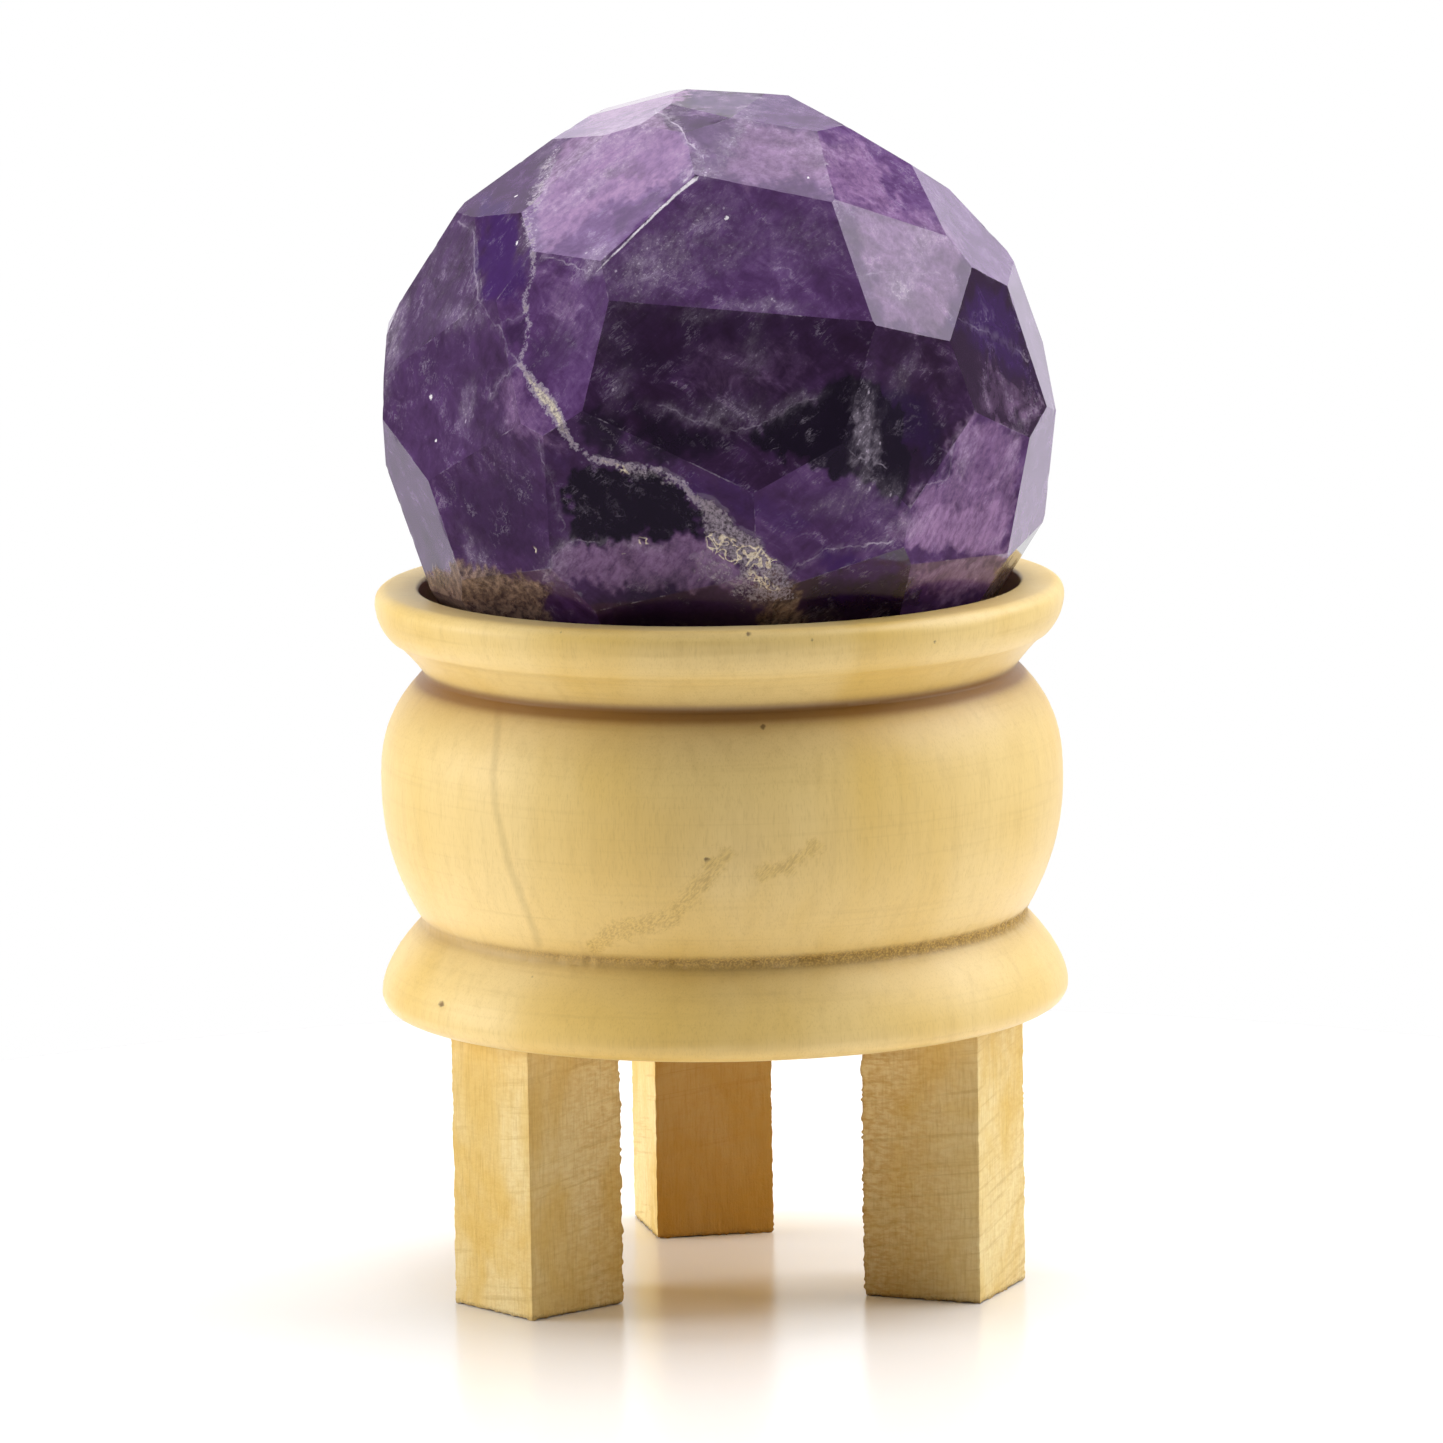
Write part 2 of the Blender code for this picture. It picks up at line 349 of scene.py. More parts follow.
# Thin healed cracks: how plain each is, and its line of x, y
CRACKS = (
    (1.0, ((654, 110), (668, 116), (682, 128), (686, 140), (697, 150), (700, 158), (692, 171), (684, 181))),
    (0.8, ((697, 150), (707, 156))),
    (0.45, ((459, 222), (473, 232), (476, 265), (478, 300), (490, 312), (500, 330), (507, 350), (517, 362))),
    (0.45, ((518, 362), (505, 374), (494, 386), (490, 402))),
    (0.5, ((785, 578), (800, 566), (827, 550), (850, 546), (865, 544))),
    (0.95, ((865, 544), (880, 543), (892, 541))),
    (1.0, ((851, 466), (858, 459), (864, 461), (872, 456), (879, 461), (886, 467))),
    (0.35, ((905, 514), (922, 486), (945, 480), (955, 440), (966, 424))),
    (0.35, ((960, 320), (985, 330), (1010, 345), (1030, 360))),
    (0.6, ((541, 256), (565, 262), (594, 273))),
    (0.35, ((523, 313), (514, 320), (505, 322))),
    (0.5, ((544, 578), (560, 550), (574, 539), (600, 541), (611, 541))),
    (0.35, ((537, 440), (548, 470), (556, 500), (562, 530))),
    (0.3, ((855, 276), (900, 272), (940, 274))),
    (0.45, ((657, 404), (680, 414), (700, 420), (735, 432), (765, 422), (790, 410), (813, 396))),
    (0.4, ((560, 172), (570, 180), (582, 172))),
)
# The ground edge that has splintered white
WHITE_EDGE = ((697, 177), (676, 194), (655, 214), (628, 240), (606, 262), (594, 273))
# Clear places that look nearly black: how dark, how soft the border is in pixels, and the outline
INKS = (
    (1.0, 10, ((813, 394), (820, 378), (850, 372), (880, 380), (893, 400), (905, 430), (912, 460), (905, 512),
               (850, 476), (800, 462), (755, 447), (750, 432), (775, 418), (800, 407))),
    (0.55, 12, ((880, 378), (927, 396), (950, 424), (953, 450), (945, 476), (922, 483), (900, 480))),
    (1.0, 7, ((577, 470), (590, 465), (634, 472), (660, 474), (684, 488), (696, 506), (700, 532), (645, 534),
              (611, 541), (574, 537), (562, 512), (568, 484))),
    (0.4, 7, ((608, 209), (640, 198), (668, 189), (662, 200), (642, 216), (616, 238), (606, 226))),
    (0.65, 12, ((572, 408), (600, 400), (625, 422), (622, 452), (600, 458), (580, 446))),
    (0.7, 16, ((632, 400), (660, 415), (700, 428), (740, 440), (700, 462), (650, 462), (630, 440))),
    (0.35, 12, ((600, 300), (735, 308), (868, 322), (884, 334), (830, 368), (760, 372), (690, 378),
                (610, 348))),
    (0.45, 22, ((590, 345), (640, 330), (690, 345), (660, 380), (610, 372))),
    (0.5, 20, ((640, 560), (720, 575), (770, 596), (790, 640), (600, 640), (610, 590))),
    (0.6, 14, ((806, 574), (905, 572), (935, 610), (800, 625))),
    (0.3, 20, ((410, 330), (475, 330), (500, 380), (440, 400), (400, 380))),
    (0.4, 18, ((430, 480), (535, 462), (560, 520), (540, 570), (480, 560))),
    (0.4, 12, ((535, 330), (585, 335), (579, 357), (535, 395), (519, 362))),
    (0.5, 8, ((500, 345), (503, 326), (522, 318), (528, 330), (515, 348))),
    (0.3, 14, ((905, 345), (960, 350), (1030, 390), (1040, 405), (960, 405), (910, 378))),
    (0.35, 14, ((835, 230), (858, 232), (862, 262), (842, 268))),
    (0.4, 8, ((600, 166), (625, 158), (650, 162), (648, 174), (628, 184), (608, 182))),
    (0.45, 6, ((585, 174), (600, 168), (588, 180), (560, 196), (545, 206), (556, 192))),
)
# Blue-violet places, given in the same way
VIOLETS = (
    (0.8, 8, ((690, 88), (760, 90), (812, 106), (745, 120), (690, 110))),
    (0.65, 20, ((972, 272), (1007, 290), (1030, 350), (1040, 395), (1000, 370), (962, 334), (948, 338),
                (962, 300))),
    (0.75, 13, ((478, 204), (490, 192), (516, 214), (526, 250), (522, 300), (505, 308), (484, 300),
                (476, 262))),
    (0.6, 16, ((880, 378), (925, 398), (945, 430), (930, 470), (890, 440), (860, 400))),
    (0.75, 12, ((820, 548), (900, 560), (900, 600), (820, 600))),
    (0.5, 18, ((640, 470), (720, 470), (830, 520), (800, 545), (740, 520))),
    (0.4, 16, ((540, 430), (575, 450), (570, 480), (548, 470))),
)
# Pinkish, milky places, given in the same way
LILACS = (
    (0.45, 6, ((700, 90), (760, 92), (812, 108), (745, 122), (690, 112))),
    (0.5, 8, ((842, 196), (930, 212), (968, 238), (948, 338), (884, 328))),
    (0.95, 8, ((912, 512), (1008, 500), (1003, 556), (908, 545))),
    (1.0, 5, ((578, 128), (605, 98), (655, 86), (704, 90), (668, 108), (602, 122))),
    (0.7, 8, ((556, 140), (600, 122), (652, 112), (684, 134), (694, 152), (690, 172), (655, 186), (612, 204),
              (575, 236), (541, 256), (536, 200))),
    (1.0, 6, ((612, 188), (660, 172), (690, 172), (655, 186), (612, 204), (575, 226), (556, 216),
              (580, 200))),
    (0.6, 9, ((955, 428), (975, 414), (1028, 433), (1018, 500), (1007, 559), (908, 545), (890, 535),
              (905, 514), (922, 486), (945, 480))),
    (0.7, 8, ((546, 576), (562, 548), (578, 540), (611, 543), (645, 536), (700, 535), (735, 560), (770, 585),
              (700, 588), (620, 590))),
    (0.45, 14, ((497, 372), (520, 366), (540, 396), (572, 450), (545, 450), (515, 440), (496, 410))),
    (0.6, 12, ((745, 122), (818, 132), (870, 142), (905, 219), (833, 198), (806, 182), (745, 188),
               (715, 170))),
    (0.6, 9, ((910, 565), (1000, 560), (1003, 590), (940, 606))),
    (0.25, 16, ((905, 340), (960, 345), (1040, 405), (975, 410), (935, 400), (905, 372))),
    (0.35, 22, ((690, 335), (800, 335), (830, 365), (790, 400), (720, 405), (680, 380))),
    (0.35, 20, ((540, 265), (592, 280), (585, 340), (540, 330))),
    (0.4, 14, ((985, 360), (1040, 400), (1030, 430), (975, 412))),
)
# Frosted veils: x, y, reach across, reach down, turn in degrees, strength
FROSTS = (
    (655, 262, 50, 24, -35, 0.7), (700, 225, 40, 22, -40, 0.45), (762, 307, 32, 6, 4, 0.8),
    (650, 240, 24, 8, -42, 0.5), (720, 260, 60, 14, -30, 0.3), (800, 240, 50, 30, 0, 0.2),
    (705, 312, 26, 7, -8, 0.4), (690, 417, 34, 6, 16, 0.6), (735, 412, 40, 12, 0, 0.5),
    (790, 404, 28, 6, -22, 0.55), (866, 436, 6, 44, 4, 1.0), (858, 420, 3, 26, -6, 1.0),
    (876, 450, 3, 26, 14, 1.0), (862, 484, 12, 13, 0, 0.8), (393, 338, 8, 52, 12, 1.0),
    (842, 503, 30, 10, -10, 0.5), (886, 500, 12, 18, 20, 0.4), (460, 318, 24, 13, 0, 0.5),
    (467, 405, 7, 22, 12, 0.75), (596, 262, 20, 9, -42, 1.0), (901, 287, 11, 11, 0, 0.9),
    (590, 150, 48, 9, -36, 0.9), (640, 128, 40, 9, -22, 0.7), (600, 178, 60, 6, -36, 0.7),
    (545, 185, 8, 26, 12, 0.9), (735, 135, 9, 36, 35, 0.55), (702, 172, 18, 9, 0, 0.75),
    (925, 240, 14, 36, 30, 0.35), (905, 525, 22, 9, -10, 0.6), (478, 560, 10, 28, -28, 0.55),
    (560, 560, 12, 24, 22, 0.5), (600, 330, 22, 30, 0, 0.15), (640, 545, 24, 5, 0, 0.6),
    (905, 372, 8, 22, 20, 0.4), (965, 455, 9, 28, 15, 0.5), (1012, 450, 5, 30, 20, 0.5),
    (566, 320, 14, 34, -10, 0.25), (500, 450, 40, 40, 0, 0.08), (755, 350, 10, 26, 0, 0.3),
    (545, 168, 10, 26, 15, 0.4), (533, 235, 12, 36, 5, 0.45), (440, 270, 40, 30, -30, 0.15),
    (825, 150, 30, 12, 10, 0.4), (890, 145, 28, 6, 0, 0.4), (620, 385, 10, 22, 20, 0.3),
)
# Brown places near the rim, given as the dark places are: iron stain, and painted reflection of the wooden
# stand
RUSTS_AND_REFLECTIONS = (
    (1.0, 9, ((415, 575), (470, 562), (500, 574), (548, 580), (548, 640), (415, 640))),
    (0.9, 9, ((752, 575), (778, 570), (800, 588), (806, 640), (758, 640))),
    (1.0, 6, ((990, 566), (1012, 556), (1012, 640), (990, 640))),
    (0.3, 10, ((540, 604), (990, 600), (990, 660), (540, 660))),
)
# Bright specks: x, y, radius in pixels
SPECKS = (
    (431, 397, 3.0), (436, 441, 2.0), (517, 243, 2.4), (516, 196, 2.2), (727, 218, 2.4), (808, 178, 1.8),
)
# How light each flat looks, partly the inside seen through it and partly painted light and shade of the
# flat: bearing, height angle in degrees, tone
FLAT_TONES = (
    (-71, 83, 0.36), (-106, 77, 0.40), (-42, 77, 0.75), (-165, 72, 0.9),
    (-47, 36, 0.60), (-85, 35, 0.57), (-87, 19, 0.24), (-125, 24, 0.66), (-122, 53, 0.9), (-146, 12, 0.44),
    (-155, 26, 0.42), (-148, 33, 0.42), (-56, 7, 0.20), (-27, 15, 0.0), (-72, -10, 0.60), (-102, -11, 0.42),
    (-136, -9, 0.38), (-160, -15, 0.52), (-37, -12, 0.60), (-72, 60, 0.60), (-36, 51, 0.66), (-154, 55, 0.52),
    (-96, -32, 0.50), (-65, -32, 0.15), (-38, -28, 0.50), (-131, -33, 0.3), (-14, 40, 0.85), (-9, 17, 0.85),
    (-174, 24, 0.8), (-15, -12, 0.9),
)
# Tones that are drawn by chance, how close in degrees a flat has to face to a listed one, and how far its
# inside jumps in mm
CHANCE_TONES = (0.15, 0.7)
MATCH_ANGLE = 4
INSIDE_JUMP = 4.0
# Waves that bend the traced borders: size, a seed each for x and y, and the pixels that they move patches
# and lines
BORDER_WAVES = ((1.8 * MM, (41, 42), 4.5, 1.6), (0.6 * MM, (43, 44), 3.5, 1.1))
# How far from its line a crack or splinter is followed, in pixels
LINE_REACH_PX = 40
# How the front's marks are turned and tilted for the back, in degrees
BACK_TURN = 168
BACK_TILT = 25
# Where the mesh gets coarser, as the y of a flat's normal, and by how much
BACK_FACING = 0.35
BACK_COARSER = 1.5
# How far the mesh's points are shifted by chance, and how far they keep from a flat's edge, in steps
STEP_JITTER = 0.12
EDGE_MARGIN = 0.45
# Seeds of the mesh and of the flats' tones
MESH_SEED = 7
TONE_SEED = 11
# Triangles that meet at less than this many degrees, or lie on one flat and are no slivers, are shaded as one
SHADE_ANGLE = 3
SLIVER_AREA = 0.01 * MM * MM
# Colours of the stone's small marks
# Browns near the rim: iron stain, and painted reflection of the wooden stand
STAIN_AND_REFLECTION_DARK, STAIN_AND_REFLECTION_PALE = linear("#33221d"), linear("#a08470")
SAND_SHADE = linear("#786a74")
PEBBLE_SHADE = linear("#3d2f3d")
CRYSTAL_SHADE = linear("#a88f72")
SPLINTER_WHITE = linear("#e8dfea")
SPECK_WHITE = linear("#efe9ee")


def facet_outlines(edge_round):
    """The ball's flats as plane polygons with their edges just broken, and the planes before that."""
    mesh = frame["nodes"]["faceted_ball"].data.copy()
    rough = new_piece("amethyst_outline", mesh)
    edit_all(rough)
    bpy.ops.mesh.remove_doubles(threshold=0.005 * MM)
    bpy.ops.mesh.dissolve_limited(angle_limit=math.radians(1.0))
    bpy.ops.mesh.normals_make_consistent(inside=False)
    bpy.ops.object.mode_set(mode="OBJECT")
    facings = np.array([tuple(face.normal) for face in mesh.polygons])
    depths = np.array([face.normal.dot(face.center) for face in mesh.polygons])
    edit_all(rough)
    bpy.ops.mesh.bevel(offset=edge_round, offset_type="OFFSET", segments=1, affect="EDGES")
    bpy.ops.object.mode_set(mode="OBJECT")
    outlines = [[mesh.vertices[index].co.copy() for index in face.vertices] for face in mesh.polygons]
    normals = [face.normal.copy() for face in mesh.polygons]
    bpy.data.objects.remove(rough)
    bpy.data.meshes.remove(mesh)
    return outlines, normals, facings, depths


def split_edge(start, end, step):
    """Points from start up to, but not with, end; both neighbours of an edge get the same ones."""
    flip = tuple(start) > tuple(end)
    low, high = (end, start) if flip else (start, end)
    count = max(1, math.ceil((high - low).length / step))
    points = [low.lerp(high, index / count) for index in range(count + 1)]
    if flip:
        points.reverse()
    return points[:-1]


def fill_flat(outline, normal, step, dice):
    """Cover one plane polygon with small, even triangles."""
    middle = sum(outline, Vector()) / len(outline)
    across = (outline[1] - outline[0]).normalized()
    upward = normal.cross(across)

    def laid_flat(points):
        return np.array([((p - middle).dot(across) / MM, (p - middle).dot(upward) / MM) for p in points])

    border = []
    for start, end in zip(outline, outline[1:] + outline[:1]):
        border += split_edge(start, end, step)
    corners = laid_flat(outline)
    low, high = corners.min(axis=0), corners.max(axis=0)
    pitch = step / MM
    row_height = pitch * math.sqrt(0.75)
    rows = int((high[1] - low[1]) / row_height) + 1
    columns = int((high[0] - low[0]) / pitch) + 2
    spots = np.array([(low[0] + (column + 0.5 * (row % 2)) * pitch, low[1] + (row + 0.5) * row_height)
                      for row in range(rows) for column in range(columns)])
    spots += dice.uniform(-STEP_JITTER, STEP_JITTER, spots.shape) * pitch
    keep = np.ones(len(spots), bool)
    for start, end in zip(corners, np.roll(corners, -1, axis=0)):
        along = (end - start) / max(np.linalg.norm(end - start), 1e-9)
        inward = along[0] * (spots[:, 1] - start[1]) - along[1] * (spots[:, 0] - start[0])
        keep &= inward > EDGE_MARGIN * pitch
    coordinates = [Vector(spot) for spot in (*laid_flat(border), *spots[keep])]
    points, _, faces, *_ = delaunay_2d_cdt(coordinates, [], [list(range(len(border)))], 1, 1e-6)
    points = [middle + (p.x * MM) * across + (p.y * MM) * upward for p in points]
    return points, [list(face) for face in faces]


def cover_ball(settings):
    """The whole ball as one mesh of small triangles: finer towards the front than behind."""
    outlines, normals, facings, depths = facet_outlines(settings.edge_round)
    dice = np.random.default_rng(MESH_SEED)
    points, faces = [], []
    for outline, normal in zip(outlines, normals):
        step = settings.mesh_step if normal.y < BACK_FACING else settings.mesh_step * BACK_COARSER
        patch_points, patch_faces = fill_flat(outline, normal, step, dice)
        first = len(points)
        points += [tuple(p) for p in patch_points]
        faces += [[first + index for index in face] for face in patch_faces]
    mesh = bpy.data.meshes.new("amethyst_ball")
    mesh.from_pydata(points, [], faces)
    ball = new_piece("amethyst_ball", mesh)
    edit_all(ball)
    close_shell(0.002 * MM)
    return ball, facings, depths


def face_middles(mesh):
    middles = np.zeros(len(mesh.polygons) * 3)
    mesh.polygons.foreach_get("center", middles)
    return middles.reshape(-1, 3)


def veil_weight(spots, veils):
    """Strength of the frosted veils at each spot."""
    total = np.zeros(len(spots))
    for x, y, wide, tall, turn, strength in veils:
        angle = math.radians(turn)
        away = spots - (x, y)
        across = (away[:, 0] * math.cos(angle) + away[:, 1] * math.sin(angle)) / wide
        down = (away[:, 1] * math.cos(angle) - away[:, 0] * math.sin(angle)) / tall
        total = np.maximum(total, strength * np.exp(-(across ** 2 + down ** 2)))
    return total


def patch_weight(spots, patches):
    """How far each spot lies in the listed patches, from 0 to each patch's own strength."""
    weights = [strength * smooth_step(-soft, soft, inside_distance(spots, outline))
               for strength, soft, outline in patches]
    return np.max(weights, axis=0)


def paint_side(points):
    """The marks that the photograph shows, as values at each point of the ball.

    The traced outlines are bent by small waves, so that they wander as natural borders do.
    """
    traced = photo_pixels(points)
    patches, spots = traced, traced
    for size, seeds, patch_bend, line_bend in BORDER_WAVES:
        wave = np.stack([ripple(points, size, seed) for seed in seeds], axis=1)
        patches = patches + patch_bend * wave
        spots = spots + line_bend * wave
    vein = np.array(CREAM_VEIN)
    distance, along = line_distance(spots, vein)
    places = np.linspace(0, 1, len(vein))
    half = np.interp(along, places, vein[:, 2])
    solid = np.interp(along, places, vein[:, 3])
    crack, beside = side_distance(spots, CRACKS)
    edge, along = line_distance(traced, WHITE_EDGE)
    splinter, on_edge = side_distance(traced, ((1.0, WHITE_EDGE),))
    return {
        "vein": solid * np.clip(1.15 - distance / (half + 2), 0, 1),
        "crack": np.clip(crack, -LINE_REACH_PX, LINE_REACH_PX) / PX_PER_MM,
        "beside": beside * (1 - smooth_step(4, 9, np.abs(crack))),
        "splinter": np.clip(splinter, -LINE_REACH_PX, LINE_REACH_PX) / PX_PER_MM,
        "chip": on_edge * (1 - smooth_step(8, 16, edge)) * (2.1 - 1.7 * along ** 0.6) / PX_PER_MM,
        "ink": patch_weight(patches, INKS),
        "violet": patch_weight(patches, VIOLETS),
        "lilac": patch_weight(patches, LILACS),
        "rust": patch_weight(patches, RUSTS_AND_REFLECTIONS),
        "frost": veil_weight(0.4 * patches + 0.6 * spots, FROSTS),
        "gravel": patch_weight(spots, GRAVELS),
        "crystal": patch_weight(spots, CRYSTALS),
    }


# The value of each mark where there is none of it; the crack and the splinter are distances in mm
CALM = {
    "vein": 0.0, "crack": 4.0, "beside": 0.0, "splinter": 4.0, "chip": 0.0, "ink": 0.0, "violet": 0.0,
    "lilac": 0.0, "rust": 0.0, "frost": 0.0, "gravel": 0.0, "crystal": 0.0,
}


def paint_ball(points, normals):
    """Marks all round: the traced ones in front, and the same stone's habit turned round behind."""
    middle = (BALL_LOW + BALL_HIGH) / 2
    front = paint_side(points)
    tilted = Matrix.Rotation(math.radians(BACK_TILT), 3, "Y")
    turned = Matrix.Rotation(math.radians(BACK_TURN), 3, "Z") @ tilted
    moved = (points - np.array(middle)) @ np.array(turned).T
    behind = paint_side(moved + np.array(middle))
    towards = np.array(CAMERA_PLACE) - points
    towards /= np.linalg.norm(towards, axis=1)[:, None]
    facing = np.einsum("ij,ij->i", normals, towards)
    share = smooth_step(-0.12, 0.02, facing)
    hidden = smooth_step(-0.10, -0.30, facing)
    marks = {}
    for name, calm in CALM.items():
        rest = hidden * behind[name] + (1 - hidden) * calm
        marks[name] = share * front[name] + (1 - share) * rest
    return marks


def flat_edges(points, facings, depths):
    """For each point the flat it lies on and its distance, in mm, from that flat's edge."""
    gaps = depths[None, :] - points @ facings.T
    own = np.argmin(gaps, axis=1)
    cosines = facings @ facings.T
    sines = np.sqrt(np.clip(1 - cosines ** 2, 1e-6, 1))
    reach = gaps / sines[own]
    reach[np.arange(len(points)), own] = 1.0
    return own, np.clip(reach.min(axis=1), 0, 1) / MM


def flat_tones(facings):
    """Inside tone of each flat: as listed in front, with painted light and shade, and by chance elsewhere."""
    dice = np.random.default_rng(TONE_SEED)
    tones = dice.uniform(*CHANCE_TONES, len(facings))
    for bearing, height, tone in FLAT_TONES:
        match = facings @ np.array(direction(bearing, height))
        if match.max() > math.cos(math.radians(MATCH_ANGLE)):
            tones[int(np.argmax(match))] = tone
    shifts = dice.uniform(-INSIDE_JUMP, INSIDE_JUMP, (len(facings), 3))
    return tones, shifts


def ball_place(x, y):
    """The place on the ball's flats that a pixel of the photograph shows."""
    forward, right, up = camera_axes()
    way = forward + ((x - IMAGE_PX / 2) * right - (y - IMAGE_PX / 2) * up) / FOCAL_PX
    hit, place, _, _ = frame["nodes"]["faceted_ball"].ray_cast(Vector(CAMERA_PLACE), way.normalized())
    if not hit:
        raise RuntimeError("a speck lies outside the ball")
    return place


def make_ball(settings):
    """The amethyst: ground flats with real cracks, chips and a pitted vein, marked for its material."""
    ball, facings, depths = cover_ball(settings)
    mesh = ball.data
    points = mesh_points(mesh)
    own, edge = flat_edges(points, facings, depths)
    normals = facings[own]
    marks = paint_ball(points, normals)
    grit = ripple(points, 0.5 * MM, 3)
    lumps = ripple(points, 1.4 * MM, 4)
    sink = settings.vein_depth * smooth_step(0.2, 0.7, marks["vein"]) * (0.6 + 0.5 * grit)
    sink += settings.gravel_depth * smooth_step(0.1, 0.6, marks["gravel"]) * (0.7 + 0.7 * grit)
    sink += settings.crack_depth * marks["beside"] * (1 - smooth_step(0.0, 0.25, np.abs(marks["crack"])))
    sink += settings.chip_depth * smooth_step(0.4, 0.0, np.abs(marks["splinter"]) - marks["chip"]) * (
        (marks["chip"] > 0.02) * (0.6 + 0.5 * lumps))
    nick = smooth_step(0.75, 1.1, ripple(points, 1.1 * MM, 5)) * (1 - smooth_step(0.1, 0.55, edge))
    sink += settings.nick_depth * nick
    points = points - normals * np.clip(sink, 0, None)[:, None]
    set_mesh_points(mesh, points)
    for name, values in marks.items():
        put_attribute(mesh, name, values)
    put_attribute(mesh, "edge", edge)
    face_own, _ = flat_edges(face_middles(mesh), facings, depths)
    tones, shifts = flat_tones(facings)
    put_attribute(mesh, "tone", tones[face_own], "FACE")
    shift = mesh.attributes.new("shift", "FLOAT_VECTOR", "FACE")
    shift.data.foreach_set("vector", shifts[face_own].astype(np.float32).ravel())
    mesh.polygons.foreach_set("use_smooth", np.ones(len(mesh.polygons), bool))
    shape = bmesh.new()
    shape.from_mesh(mesh)
    for line in shape.edges:
        if len(line.link_faces) == 2:
            first, second = line.link_faces
            line.smooth = first.normal.dot(second.normal) > math.cos(math.radians(SHADE_ANGLE)) or (
                face_own[first.index] == face_own[second.index]
                and min(first.calc_area(), second.calc_area()) > SLIVER_AREA)
    shape.to_mesh(mesh)
    shape.free()
    hand_over(ball, "faceted_ball", amethyst_material(settings))


# Noise patterns of the stone: size in mm, detail, roughness, bend, turn, stretch. The deep ones jump from
# flat to flat, as what lies inside does when it is seen through differently ground faces.
DEEP_PATTERNS = {
    "clouds": (7.0, 6, 0.6, 0.3, LEVEL, EVEN),
    "veils": (2.6, 8, 0.68, 0.5, (0.4, 0.6, 0.3), (1.5, 1.5, 0.9)),
    "wisps": (1.5, 7, 0.72, 0.35, (0.0, 0.9, 0.3), (0.7, 0.7, 2.6)),
}
NEAR_PATTERNS = {
    "streaks": (0.8, 7, 0.75, 0.2, (0.0, 0.6, 0.2), (0.8, 1.1, 2.0)),
    "fine": (0.28, 4, 0.72, 0.0, LEVEL, EVEN),
    "grit": (0.12, 2, 0.6, 0.0, LEVEL, EVEN),
    "lumps": (0.75, 4, 0.6, 0.6, (0.0, 0.5, 0.0), EVEN),
    "curls": (1.05, 1, 0.5, 1.0, LEVEL, EVEN),
    "patches": (2.4, 3, 0.6, 0.0, LEVEL, EVEN),
}


